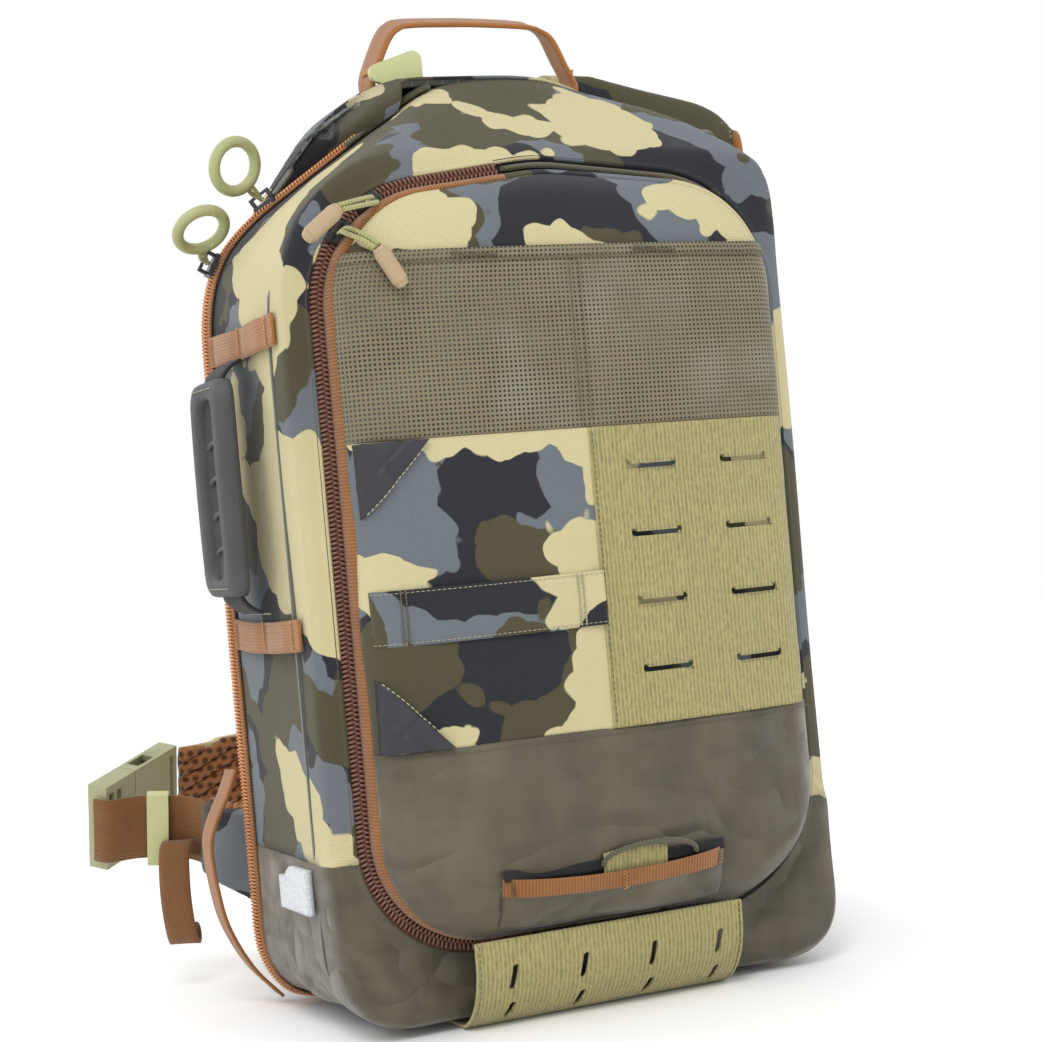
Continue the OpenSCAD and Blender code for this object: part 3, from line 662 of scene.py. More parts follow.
def coil(name, path, out, body, mat, offset, r=1.7, pitch=2.3, wire=0.72, flip=1):
    """One half of a zip's coil: a wire wound along the path, offset sideways from the zip's middle."""
    p = resample(path, pitch / 7)
    n = len(p)
    t = unit(np.gradient(p, axis=0))
    o = along_path(out, n)
    o = unit(o - t * (o * t).sum(1)[:, None])
    s = np.cross(t, o)
    a = np.arange(n) * 2 * math.pi / 7 * flip
    q = p + s * (offset + 1.25 * r * np.cos(a))[:, None] + o * (0.62 * r * np.sin(a))[:, None]
    tube(name, q, wire, mat, body, 5)


# ---------------------------------------------------------------- the pack's form, as in the CAD
class Outline:
    """The convex hull of circles (a, b, radius) in one plane."""

    def __init__(self, *circles):
        ang = np.linspace(0, 2 * math.pi, 240, endpoint=False)
        self.n = np.stack([np.cos(ang), np.sin(ang)], axis=1)
        c = np.array(circles, float)
        reach = self.n @ c[:, :2].T + c[:, 2]
        self.h = reach.max(axis=1)
        self.circle = c[reach.argmax(axis=1)]

    def dist(self, a, b):
        """How far outside the outline each place is; negative inside it."""
        a, b = np.broadcast_arrays(np.asarray(a, float), np.asarray(b, float))
        flat = np.stack([a.ravel(), b.ravel()], axis=1)
        out = np.concatenate([(flat[i:i + 20000] @ self.n.T - self.h).max(axis=1)
                              for i in range(0, len(flat), 20000)])
        return out.reshape(a.shape)

    def low(self, q, axis=0):
        """Lowest place along axis for each q on the other axis."""
        return self.reach_on(self.n[:, axis] < -0.02, q, axis).max(axis=-1)

    def high(self, q, axis=0):
        return self.reach_on(self.n[:, axis] > 0.02, q, axis).min(axis=-1)

    def reach_on(self, k, q, axis):
        return (self.h[k] - np.multiply.outer(np.asarray(q, float), self.n[k, 1 - axis])) / self.n[k, axis]

    def loop(self, count, grow=0.0, start=-90):
        """count points evenly along the outline and their outward normals, anticlockwise from start."""
        pts = self.circle[:, :2] + (self.circle[:, 2] + grow)[:, None] * self.n
        k = int(round(start / 360 * len(pts))) % len(pts)
        pts = np.roll(pts, -k, axis=0)
        ring = np.vstack([pts, pts[:1]])
        d = run_length(ring)
        x = np.linspace(0, d[-1], count, endpoint=False)
        q = np.stack([np.interp(x, d, ring[:, c]) for c in (0, 1)], axis=1)
        t = np.roll(q, -1, 0) - np.roll(q, 1, 0)
        return q, unit(np.stack([t[:, 1], -t[:, 0]], axis=1))


REAR, SEAM_Y, KNEE_Z, ZIP_END_X = 80.0, 60.0, 405.0, -44.0
MIDDLE = np.array([0.0, 235.0])
CORNERS = [(-100, 45, 45), (100, 45, 45), (-52, 350, 93), (15, 400, 92), (52, 385, 93)]
FRONT_OUT = Outline(*CORNERS)
RIDGE_OUT = Outline(*CORNERS, (-26, 416, 74))
SIDE_OUT = Outline((-58, 34, 34), (68, 12, 12), (-72, 404, 20), (8, 474, 18), (62, 474, 18))
PLAN_OUT = Outline((-103, -50, 42), (103, -50, 42), (-125, 60, 20), (125, 60, 20))
FLAP_OUT = Outline((-61, 356, 58), (-67, 98, 52), (61, 106, 60), (63, 358, 58), (0, 330, 92))
RIM_Y, GUSSET_Y, ZIP_Y = -66.0, -72.0, -68.6
FLANGE, RIM_INSET, SATIN_Z = 9.0, 0.6, 88


def form(p, ridge=False, k=5.0):
    """Smooth distance outside the pack's form at the points p; k mm rounds its edges."""
    o = RIDGE_OUT if ridge else FRONT_OUT
    d = np.stack([o.dist(p[..., 0], p[..., 2]), SIDE_OUT.dist(p[..., 1], p[..., 2]),
                  PLAN_OUT.dist(p[..., 0], p[..., 1])])
    top = d.max(axis=0)
    return top + k * np.log(np.exp((d - top) / k).sum(axis=0))


def cast(start, way, ridge=False):
    """Where rays from inside the form leave it."""
    lo, hi = np.zeros(start.shape[:-1]), np.full(start.shape[:-1], 420.0)
    for _ in range(22):
        mid = (lo + hi) / 2
        inside = form(start + way * mid[..., None], ridge) < 0
        lo, hi = np.where(inside, mid, lo), np.where(inside, hi, mid)
    return start + way * lo[..., None]


def seam_y(z):
    """Depth of the main seam: upright to the knee, then sloping forward."""
    return np.where(z < KNEE_Z, SEAM_Y, SEAM_Y - (SEAM_Y - 2) * (z - KNEE_Z) / (480 - KNEE_Z))


def soft(p, seed, size=60.0, amount=1.0):
    """A smooth random height for cloth, about -1 to 1 times amount."""
    r = np.random.default_rng(seed)
    h = np.zeros(p.shape[:-1])
    for _ in range(9):
        k = r.normal(size=3) / size * 2.2
        h += np.sin(p @ k + r.uniform(0, 6.28)) * r.uniform(0.5, 1.0)
    return h * amount / 3.2


def smooth_step(x, a, b):
    t = np.clip((np.asarray(x, float) - a) / (b - a), 0, 1)
    return t * t * (3 - 2 * t)


def flap_face(x, z):
    """Height y of the flap's soft face: full in the middle, rounded down into its rim."""
    x, z = np.broadcast_arrays(np.asarray(x, float), np.asarray(z, float))
    base = np.maximum(SIDE_OUT.low(z, 0), PLAN_OUT.low(x, 1))
    inside = np.clip(-FLAP_OUT.dist(x, z), 0, None)
    e = np.clip(1 - inside / 15, 0, 1)
    lip = (1 - np.sqrt(np.clip(1 - e * e, 0, 1))) * 0.48 * (RIM_Y - base)
    full = 7.0 * np.clip(1 - (x / 122) ** 2, 0, 1) * smooth_step(inside, 0, 45)
    return base + lip - full


def on_face(x, z, lift=0.0):
    """Points of the flap's face at (x, z), moved lift mm forward."""
    x, z = np.broadcast_arrays(np.asarray(x, float), np.asarray(z, float))
    return np.stack([x, flap_face(x, z) - lift, z], axis=-1)


def upright_stitches(name, x, z0, z1, n, lift, thread_mat, pitch, length, r):
    """A row of stitches straight up the flap's face."""
    stitches(name, on_face(x, np.linspace(z0, z1, n), lift), "flap", thread_mat, pitch, length, r)


def spread(n, ends):
    """n places from 0 to 1, with the share ends of them gathered towards both ends."""
    x = np.linspace(0, 1, n)
    return (1 - np.cos(x * math.pi)) / 2 * ends + x * (1 - ends)

def flap_sheet(x1, z0, z1, n, m, lift, puff=None):
    """Points over the flap's face between two heights, from its left rim to x1, or to the right rim."""
    z = z0 + (z1 - z0) * np.linspace(0, 1, m)
    left = FLAP_OUT.low(z, 0) + RIM_INSET
    right = FLAP_OUT.high(z, 0) - RIM_INSET
    if x1 is not None:
        right = np.minimum(x1, right)
    s = spread(n, 0.45)
    x = left[None, :] + (right - left)[None, :] * s[:, None]
    zz = np.broadcast_to(z[None, :], x.shape)
    p = on_face(x, zz)
    nrm = normals(p)
    p = p + nrm * lift
    if puff is not None:
        p = p + nrm * puff(x, zz, s[:, None], np.linspace(0, 1, m)[None, :])[..., None]
    return p


# ---------------------------------------------------------------- organiser flap
def flap_skin():
    """The flap's shell: face, rounded edge and rim, one closed sheet with a lining."""
    q = FLAP_OUT.loop(300)[0]
    rho = np.concatenate([np.linspace(0.02, 0.8, 14), [0.86, 0.9, 0.93, 0.955, 0.975, 0.988, 0.996, 1.0]])
    c = np.array([0.0, 225.0])
    flat = c + (q - c)[:, None, :] * rho[None, :, None]
    face = on_face(flat[..., 0], flat[..., 1])
    edge = face[:, -1, 1]
    rim = [upright(q, edge + (RIM_Y - edge) * f) for f in (0.3, 0.65, 1.0)]
    p = np.concatenate([face, np.stack(rim, axis=1)], axis=1)
    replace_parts(grid("flap_skin", p, "camo_flap", "flap", thick=2.0, wrap=True, second="lining"), "flap_shell")


def mesh_panel():
    """Mesh pocket, slack between its rim and its middle seam."""
    def sag(x, z, s, t):
        slack = 1.2 * np.sin(math.pi * t) * np.sin(math.pi * s) * smooth_step(x, -88, -40)
        return slack - 1.1 * np.exp(-(x / 2.2) ** 2) + soft(np.stack([x, z, z * 0], -1), 3, 45, 0.5)

    p = flap_sheet(None, 291.0, 381.0, 110, 60, 1.6, sag)
    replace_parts(grid("mesh_pocket_cloth", p, "mesh", "flap", thick=1.2), "mesh_pocket")
    hem = flap_sheet(None, 375.5, 382.0, 90, 5, 2.0, lambda x, z, s, t: 0.5 * np.sin(math.pi * t) + 0 * x)
    grid("mesh_pocket_hem", hem, "mesh", "flap", thick=1.2)
    row = flap_sheet(None, 376.3, 376.9, 60, 2, 2.3)[:, 0]
    stitches("mesh_hem_stitches", row, "flap", "olive_thread", lift=(0, -0.5, 0))
    for tag, x in (("l", -2.6), ("r", 2.6)):
        upright_stitches(f"mesh_middle_stitches_{tag}", x, 294, 374, 40, 3.2, "olive_thread", 3.4, 2.4, 0.3)
    for k, x in enumerate((-52.0, 46.0)):
        y = float(flap_face(x, 377)) - 3.9
        bartack(f"mesh_bartack_{k}", (x, y, 378.5), (1, 0, -0.08), (0, 0, 1), "flap", 24, 2.6,
                "olive_thread", 0.5)


def camo_pocket():
    """Camo pocket on the left of the flap, with soft diagonal folds."""
    def folds(x, z, s, t):
        full = 3.0 * np.sin(math.pi * np.clip(t, 0, 1)) ** 0.7 * np.sin(math.pi * s) ** 0.6
        waves = 1.3 * np.sin((x * 0.55 + z) / 17.0) * smooth_step(-x, 5, 60) * np.sin(math.pi * t)
        return full + waves + soft(np.stack([x, z, z * 0], -1), 11, 42, 0.7) * np.sin(math.pi * s)

    p = flap_sheet(0.8, 141.0, 291.0, 80, 80, 1.6, folds)
    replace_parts(grid("camo_pocket_cloth", p, "camo_pocket", "flap", thick=1.4), "camo_pocket")


def tuck(name, z, way):
    """Black gusset corner with its folded cross: a shallow pyramid dented along its two folds."""
    across = np.linspace(0, 1, 22)
    x0 = float(FLAP_OUT.low(z, 0)) + 0.8
    p = np.array([[(x0 + (-84 - x0) * u + 0.4 * v, 0, z - way * 36 * (1 - u) * v) for v in across]
                  for u in across])
    p[..., 0] = np.maximum(p[..., 0], FLAP_OUT.low(p[..., 2], 0) + 0.8)
    a, b = (p[..., 0] - x0) / 36, (z - p[..., 2]) * way / 34
    fold, cross = np.abs(a - b), np.abs(a + b - 0.62)
    lift = 3.9 - 1.5 * np.exp(-(fold / 0.05) ** 2) - 1.2 * np.exp(-(cross / 0.05) ** 2) * (fold > 0.02)
    p[..., 1] = flap_face(p[..., 0], p[..., 2]) - lift - 1.2
    ob = grid(name, p, "coated", "flap", thick=1.0)
    edge = p[:, -1] + np.array([0.5, -0.6, 0])
    stitches(name + "_stitches", edge[1:-1], "flap", "pale_thread", 3.0, 2.2, 0.34)
    return ob


def daisy():
    """Daisy strap over the camo pocket, sewn down at two tacks and along its edges."""
    tacks = (-103.0, -12.0)
    x = np.linspace(float(FLAP_OUT.low(206, 0)) + 1.5, 0.6, 70)
    z = np.linspace(193, 220, 16)
    xx, zz = np.meshgrid(x, z, indexing="ij")
    near = np.minimum(np.abs(xx - tacks[0]), np.abs(xx - tacks[1]))
    lift = 4.4 + 1.9 * smooth_step(near, 0, 22) + 0.25 * np.cos((zz - 206.5) / 13.5 * math.pi)
    p = on_face(xx, zz, lift)
    p[..., 2] += 0.6 * np.sin(xx / 60)
    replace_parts(grid("daisy_strap_cloth", p, "camo_strap", "flap", thick=1.3), "daisy_strap")
    for k, t in enumerate(tacks):
        for tag, side in (("a", -1.3), ("b", 1.3)):
            upright_stitches(f"daisy_tack_{k}_{tag}", t + side, 193.6, 219.4, 20, 4.9,
                             "pale_thread" if k else "olive_thread", 1.5, 1.5, 0.5)
    for tag, j, up in (("low", 0, 1.4), ("top", -1, -1.4)):
        stitches(f"daisy_{tag}_stitches", p[:, j] + np.array([0, -0.3, up]), "flap", "pale_thread", 2.6, 1.9, 0.22)


SLOT_X, SLOT_Z = (34.0, 89.0), (169.0, 203.0, 237.0, 271.0)


def cut_slot(a, b, reach, da, db, radius, snap):
    """Moves grid points near a slot's edge onto it; reach is how far outside the slots each point is."""
    r = np.sqrt(da * da + db * db) + 1e-9
    d = r - radius
    near = np.abs(d) < snap
    move = np.where(near, -d / r, 0)
    return a + da * move, b + db * move, np.minimum(reach, np.where(near, 0, d))


def corners(values):
    """The four corner values of each quad."""
    return values[:-1, :-1], values[1:, :-1], values[1:, 1:], values[:-1, 1:]


def slot_panel():
    """Laminated slot panel with real cut slots."""
    xs = np.unique(np.round(np.concatenate([np.linspace(0.5, 118, 92)]
                                           + [x + np.linspace(-16, 16, 33) for x in SLOT_X]), 2))
    zs = np.unique(np.round(np.concatenate([np.linspace(141, 291, 76)]
                                           + [z + np.linspace(-4, 4, 15) for z in SLOT_Z]), 2))
    xx, zz = np.meshgrid(xs, zs, indexing="ij")
    reach = np.full(xx.shape, 99.0)
    for sx in SLOT_X:
        for sz in SLOT_Z:
            dx = xx - np.clip(xx, sx - 12.5, sx + 12.5)
            xx, zz, reach = cut_slot(xx, zz, reach, dx, zz - sz, 2.0, 0.62)
    right = FLAP_OUT.high(zz, 0) - 0.8
    over = xx > right
    xx = np.where(over, right, xx)
    p = on_face(xx, zz)
    p[..., 1] -= 2.4 + 0.35 * soft(p, 5, 40, 1.0)
    p[..., 0] += np.where(over, 0.8, 0)
    keep = (sum(corners(reach)) / 4 > -0.02) & ~np.logical_and.reduce(corners(over))
    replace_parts(grid("slot_panel", p, "khaki", "flap", thick=1.7, keep=keep), "molle_panel")
    upright_stitches("slot_panel_left_stitches", 2.2, 143, 289, 60, 2.9, "olive_thread", 3.2, 2.2, 0.26)


def band_puff(z):
    """How far the satin band stands out, fullest halfway up."""
    return 3.2 * np.sin(math.pi * np.clip((z - 46) / 95, 0, 1)) ** 0.8


def nylon_front():
    """Satin band of the flap, drawn into soft folds towards the lower pocket."""
    z = 46.2 + (141.5 - 46.2) * np.linspace(0, 1, 64) ** 1.25

    def folds(x, z):
        k = smooth_step(141 - z, 2, 30)
        diagonal = np.sin((x * 0.9 + 0.5 * z) / 15.0 + 0.8 * np.sin(z / 21.0))
        h = 1.6 * diagonal * k * smooth_step(np.abs(x), 15, 80)
        h += 1.9 * np.exp(-((z - 88 - 0.16 * x) / 7.0) ** 2) * smooth_step(-np.abs(x + 5), -75, -40)
        h += soft(np.stack([x, z * 0, z], -1), 21, 33, 1.0) * k
        return h + band_puff(z)

    left = FLAP_OUT.low(z, 0) + 0.7
    right = FLAP_OUT.high(z, 0) - 0.7
    x = left[None] + (right - left)[None] * spread(120, 0.5)[:, None]
    zz = np.broadcast_to(z[None], x.shape)
    p = on_face(x, zz)
    inside = smooth_step(-FLAP_OUT.dist(x, zz), 0, 16)
    p = p + normals(p) * (1.5 + folds(x, zz) * inside)[..., None]
    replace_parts(grid("nylon_band_cloth", p, "satin", "flap", thick=1.1), "nylon_band")
    row = flap_sheet(None, 138.6, 139.0, 90, 2, 2.4)[:, 0]
    stitches("nylon_top_stitches", row, "flap", "olive_thread", 3.0, 2.2, 0.24, (0, -0.3, 0))


def band_face(x, z):
    """Depth of the satin band's face."""
    return flap_face(x, z) - 1.5 - band_puff(z)


def lower_pocket():
    """Slim pocket: a bowed front wall, a bound mouth, a tab and a cord loop inside."""
    x0, x1 = -66.0, 56.0
    s = np.linspace(0, 1, 60)
    x = x0 + (x1 - x0) * s
    dip = 2.6 * np.sin(math.pi * s)
    bow = 1 - np.abs(2 * s - 1) ** 7
    rows = []
    for f in np.linspace(0, 1, 20):
        z = 48.0 + dip * -0.4 + (74.5 - dip - 48.0) * f
        y = band_face(x, z) - bow * (3.0 + 5.2 * math.sin(min(1, f * 1.25) * math.pi / 2))
        y -= 0.8 * np.sin(x / 9.0 + f * 2) * bow * (1 - f) + 0.5 * np.sin(x / 5.3) * bow * (1 - f) * f
        rows.append(np.stack([x, y, z], axis=1))
    p = np.stack(rows, axis=1)
    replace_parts(grid("lower_pocket_cloth", p, "satin", "flap", thick=1.2), "lower_pocket")
    trim = p[:, -7:].copy()
    trim[..., 1] -= 0.9
    lip = trim[:, -1:] + np.array([0, 0.2, 0.9])
    inner = lip + np.array([0, 2.6, -0.4])
    drop = inner + np.array([0, 0.1, -5.5])
    mouth = np.concatenate([trim, lip, inner, drop], axis=1)
    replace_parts(grid("pocket_mouth_binding", mouth, "binding", "flap", thick=0.7), "pocket_trim")
    for k, x_at in enumerate((x0 + 4, x1 - 4, -3.0)):
        at = p[int(np.argmin(np.abs(x - x_at))), -4] + np.array([0, -1.6, 0])
        bartack(f"pocket_bartack_{k}", at, (0.04, 0, 1), (1, 0, 0), "flap", 9, 2.2,
                "olive_thread" if k < 2 else "copper_thread", 0.42)
    back = []
    for f in np.linspace(0, 1, 5):
        z = 74 + 5.5 * f - dip * 0.5
        back.append(np.stack([x, band_face(x, z) - 2.4 * (1 - f) - 1.2 - 0.4 * np.sin(x / 6), z], axis=1))
    grid("pocket_elastic_edge", np.stack(back, axis=1), "dark", "flap", thick=0.8)
    u = np.linspace(-1, 1, 24)
    xx = 4 + 17.5 * u
    tab = []
    for f in np.linspace(0, 1, 8):
        z = np.full(len(u), 60 + 21 * f)
        y = band_face(xx, z) - 3.4 - 1.2 * math.sin(f * 3) - 0.6 * u ** 2
        tab.append(np.stack([xx, y, z + 1.2 * (1 - u ** 2) * f], axis=1))
    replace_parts(grid("pocket_tab", np.stack(tab, axis=1), "khaki", "flap", thick=1.0), "label_tab")
    a = np.linspace(0, math.pi, 30)
    cx = 12 + 26 * np.cos(a)
    cz = 75.0 + 8.5 * np.sin(a) ** 0.8
    cy = band_face(cx, cz) - 4.6 - 1.2 * np.sin(a)
    tube("pocket_cord_loop", np.stack([cx, cy, cz], axis=1), 1.3, "dark_cord", "flap", 8)


def rim_binding():
    """Binding round the flap's rim, from the zip tape to the edge of the face: copper on the zip side, camo on the
    hinge side.
    """
    q, out = FLAP_OUT.loop(420)
    edge = flap_face(q[:, 0] - out[:, 0] * 0.3, q[:, 1] - out[:, 1] * 0.3)
    p = np.stack([upright(q + out * g, RIM_Y - 1.6 + (edge - 1.2 - RIM_Y + 1.6) * f)
                  for f, g in ((0.0, 1.6), (0.12, 2.1), (0.35, 2.3), (0.65, 2.2), (0.9, 1.7), (1.02, 0.3),
                               (1.06, -1.2))], axis=1)
    zip_side = q[:, 0] < -22
    for name, pick, mat in (("zip", zip_side, "binding"), ("hinge", ~zip_side, "camo_flap")):
        keep = np.repeat(pick[:, None], p.shape[1] - 1, axis=1)
        grid("flap_binding_" + name, p, mat, "flap", thick=0.9, wrap=True, keep=keep)


def on_zip(q):
    """Which points of the flap's outline have the front zip beside them."""
    return (q[:, 0] < -40) | ((q[:, 0] < -22) & (q[:, 1] >= 260))


def one_run(mask):
    """Indices of a ring where mask holds, in unbroken order."""
    k = np.where(mask)[0]
    gap = np.where(np.diff(k) > 1)[0]
    return np.concatenate([k[gap[0] + 1:], k[:gap[0] + 1]]) if len(gap) else k


def zip_path(grow, y=ZIP_Y):
    """The front zip's line, grow mm outside the flap's outline."""
    q, out = FLAP_OUT.loop(420)
    k = one_run(on_zip(q))
    return upright(q[k] + out[k] * grow, y)


def front_zip():
    """Organiser zip: a tape and a coil half on the flap, and the same on the pack."""
    for name, lo, hi, body, node in (("front_zip_tape_flap", 0.4, 4.3, "flap", "front_zip_outer"),
                                     ("front_zip_tape_pack", 4.7, 10.2, "front", "front_zip_inner")):
        rows = [zip_path(lo + (hi - lo) * f, -68.0 - 0.25 * math.sin(f * math.pi))
                for f in np.linspace(0, 1, 5)]
        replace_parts(grid(name, np.stack(rows, axis=1), "tape", body, thick=1.0), node)
    path = resample(zip_path(4.5), 3.0) + np.array([0, -0.9, 0])
    out = np.tile([0.0, -1.0, 0.0], (len(path), 1))
    coil("front_zip_coil_flap", path, out, "flap", "coil", -1.55)
    coil("front_zip_coil_pack", path, out, "front", "coil", 1.55, flip=-1)


def hinge_strip():
    """Stitched groove along the flap's hinge side; its dark cloth and dark piping cord stand for the seam's deep
    shade as painted shade.
    """
    q, out = FLAP_OUT.loop(420)
    hinge = ~on_zip(q)
    rows = [upright(q + out * g, y)
            for g, y in ((0.6, -67.4), (2.6, -66.8), (5.0, -68.6), (7.4, -66.9), (10.0, -68.6))]
    # painted shade: dark cloth in the hinge seam's groove
    ob = grid("hinge_groove_shade", np.stack(rows, axis=1), "dark", "front", thick=1.2, wrap=True,
              keep=np.repeat(hinge[:, None], 4, axis=1))
    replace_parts(ob, "flap_hinge_strip")
    k = one_run(hinge)
    # painted shade: dark piping along the hinge seam
    tube("hinge_piping_shade", upright(q[k] + out[k] * 5, -70.4)[::2], 1.5, "dark_cord", "front", 8)


# ---------------------------------------------------------------- front body
def plane_edge(way, dy, ridge=False, grow=0.0):
    """The (x, z) points out along way where a plane dy behind the main seam meets the form."""
    lo, hi = np.zeros(len(way)), np.full(len(way), 330.0)
    for _ in range(24):
        mid = (lo + hi) / 2
        pt = MIDDLE + way * mid[:, None]
        inside = form(upright(pt, seam_y(pt[:, 1]) + dy), ridge) < grow
        lo, hi = np.where(inside, mid, lo), np.where(inside, hi, mid)
    return MIDDLE + way * lo[:, None]


def shell_rows(q, rows):
    """Points over the form between the flap's ring q and the main seam."""
    ring = upright(q, -69.0)
    pt = plane_edge(unit(q - MIDDLE), -4.0)
    seam = upright(pt, seam_y(pt[:, 1]) - 0.3)
    core = upright(MIDDLE + (pt - MIDDLE) * 0.55, -22.0)
    out = [ring]
    for f in rows[1:-1]:
        chord = ring + (seam - ring) * f
        hit = cast(core, unit(chord - core))
        hit[:, 1] = np.maximum(hit[:, 1], np.interp(hit[:, 2], [60, 112], [-97, GUSSET_Y]))
        near = smooth_step(f, 0, 0.10)
        out.append(hit * near + chord * (1 - near))
    return np.stack(out + [seam], axis=1)


def satin_quads(p):
    """Which quads of the front shell are satin; the rest are camo."""
    c = (p[:, :-1] + np.roll(p, -1, 0)[:, 1:]) / 2
    return (c[..., 2] < SATIN_Z) & (c[..., 1] < SEAM_Y - 4)


def front_shell():
    """Side walls and top of the front half: camo above, gathered satin below."""
    rows = np.concatenate([[0, 0.012, 0.03, 0.055, 0.085], np.linspace(0.12, 0.985, 44), [1.0]])
    p = shell_rows(FLAP_OUT.loop(360, FLANGE + 0.6)[0], rows)
    y, z = p[..., 1], p[..., 2]
    fade = np.sin(math.pi * np.clip(rows[None, :], 0, 1)) ** 0.7
    low = 1 - smooth_step(z, 80, 96)
    folds = soft(p, 31, 42, 1.0) * fade * (0.9 + 1.1 * low)
    crease = 1.1 * np.sin((z * 0.8 + y * 0.9) / 11.0 + 1.2 * np.sin(y / 25)) * low * fade
    belly = 2.2 * low * fade * smooth_step(z, 4, 30)
    cloth = p + normals(p) * (folds + crease + belly - 1.0 * fade)[..., None]
    cloth[..., 2] = np.maximum(cloth[..., 2], 0.3)
    on_line = (np.abs(z - SATIN_Z) < 3.2) & (y < SEAM_Y - 2)
    cloth[..., 2] = np.where(on_line, SATIN_Z + (z - SATIN_Z) * 0.04, cloth[..., 2])
    satin_part = satin_quads(p)
    for name, mat, keep, nodes in (("lower_side_cloth", "satin", satin_part, ("lower_panels",)),
                                   ("gusset_cloth", "camo_front", ~satin_part, ("front_shell", "top_yoke"))):
        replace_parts(grid(name, cloth, mat, "front", thick=1.8, wrap=True, keep=keep, second="lining"), *nodes)


def base_panel():
    """Laminated slot panel round the front of the base, with two rows of cut slots."""
    arc = [(-58 - 35.6 * math.cos(a), 34 - 35.6 * math.sin(a)) for a in np.radians(np.arange(89.0))]
    prof = np.array([(-92.4, 45.3), (-93.6, 44), (-93.6, 35.2)] + arc + [(-50, -1.6), (-42, -1.6)])
    d = run_length(prof)
    s = np.linspace(0, d[-1], 150)
    py, pz = np.interp(s, d, prof[:, 0]), np.interp(s, d, prof[:, 1])
    x = np.linspace(-81, 67, 297)
    xx, ss = np.meshgrid(x, s, indexing="ij")
    reach = np.full(xx.shape, 99.0)
    for sx in (-62.0, -24.0, 14.0, 52.0):
        for s0, s1 in ((15.2, 25.2), (36.5, 46.5)):
            ds = ss - np.clip(ss, s0, s1)
            dx = xx - sx - 0.16 * (s1 - ss)
            xx, ss, reach = cut_slot(xx, ss, reach, dx, ds, 1.6, 0.3)
    yy, zz = np.interp(ss, s, py), np.interp(ss, s, pz)
    wave = 0.7 * np.sin(xx / 21 + 1) * np.sin(ss / 16)
    p = np.stack([xx, yy - wave - 1.2, np.maximum(zz - wave * 0.2, 0.2)], axis=2)
    ob = grid("base_slot_panel", p, "khaki", "front", thick=1.5, out=(0, 0, 60),
              keep=sum(corners(reach)) / 4 > -0.02)
    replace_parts(ob, "base_panel")
    for k, i in enumerate((4, 292)):
        stitches(f"base_panel_stitches_{k}", p[i, 2:120] + np.array([0, -0.3, 0]), "front", "olive_thread",
                 3.2, 2.3, 0.26)


# ---------------------------------------------------------------- rear body and main zip
def around(dy, grow=0.0, ridge=False, count=420):
    """Points round the body where a plane dy behind the main seam meets the form."""
    a = np.linspace(-math.pi / 2, 1.5 * math.pi, count, endpoint=False)
    pt = plane_edge(np.stack([np.cos(a), np.sin(a)], axis=1), dy, ridge, grow)
    return upright(pt, seam_y(pt[:, 1]) + dy)


def rear_shell():
    """Rear tray with its ridge: one sheet from the main seam over the edge to the middle of the back."""
    start = around(4.4, 0.0, True, 360)
    start[:, 1] = seam_y(start[:, 2]) + 0.3
    core = upright(MIDDLE + (start[:, ::2] - MIDDLE) * 0.62, 6.0)
    centre = np.array([0, REAR, 235.0])
    rows = np.concatenate([[0, 0.012, 0.03], np.linspace(0.06, 0.3, 14), np.linspace(0.34, 0.98, 14)])
    out = []
    for f in rows:
        chord = start + (centre - start) * f
        hit = cast(core, unit(chord - core), True)
        b = smooth_step(f, 0, 0.05)
        out.append(hit * b + chord * (1 - b))
    p = np.stack(out, axis=1)
    fade = smooth_step(rows, 0.02, 0.12)[None, :]
    p = p + normals(p) * (soft(p, 41, 55, 1.1) * fade)[..., None]
    hem = around(3.6, 0.4, False, 360)
    x = start[:, 0]
    back = smooth_step(-x, 58, 78)
    slope = hem[:, None, 1] + 0.3 * (p[..., 2] - hem[:, None, 2])
    p[..., 1] += back[:, None] * (np.maximum(p[..., 1], slope) - p[..., 1])
    hem[:, 1] += (1 - back) * (start[:, 1] - 9 - hem[:, 1])
    hem[:, 2] += 0.8 * (1 - back)
    sewn = smooth_step(x, -52, -42)[:, None]
    hem = hem * (1 - sewn) + (p[:, 0] + np.array([0, -1.5, -0.5])) * sewn
    p = np.concatenate([hem[:, None], p], axis=1)
    p[..., 2] = np.maximum(p[..., 2], 0.3)
    p[..., 1] += smooth_step(p[..., 1], REAR - 8, REAR - 4) * (REAR - 0.2 - p[..., 1])
    ob = grid("rear_cloth", p, "camo_rear", "harness", thick=1.8, wrap=True, second="lining")
    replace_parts(ob, "rear_shell")


def left_run(p):
    """Indices of the stretch of a ring that the main zip covers, from the bottom to the top."""
    return one_run(p[:, 0] < ZIP_END_X)


def main_zip():
    """Main zip: two tapes and two coil halves."""
    run = left_run(around(0, 1.0))
    for name, lo, hi, body, node, mat in (
            ("main_zip_tape_rear", 0.35, 6.0, "harness", "main_zip_rear", "tape"),
            ("main_zip_tape_front", -0.35, -7.5, "front", "main_zip_front", "binding")):
        rows = [around(lo + (hi - lo) * f, 1.5 + 0.7 * math.sin(f * math.pi))[run]
                for f in np.linspace(0, 1, 6)]
        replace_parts(grid(name, np.stack(rows, axis=1), mat, body, thick=1.1, out=(0, 40, 235)), node)
    path = around(0.0, 2.4)
    path = path[left_run(path)]
    path = path[path[:, 2] > 1.5]
    out = along_path(unit(upright(path[:, ::2] - MIDDLE, 0.0)), 700)
    path = spline(path[::6], 700)
    coil("main_zip_coil_rear", path, out, "harness", "coil_light", 1.75, 1.55, 1.9, 0.6, flip=-1)
    coil("main_zip_coil_front", path, out, "front", "coil_light", -1.75, 1.55, 1.9, 0.6)


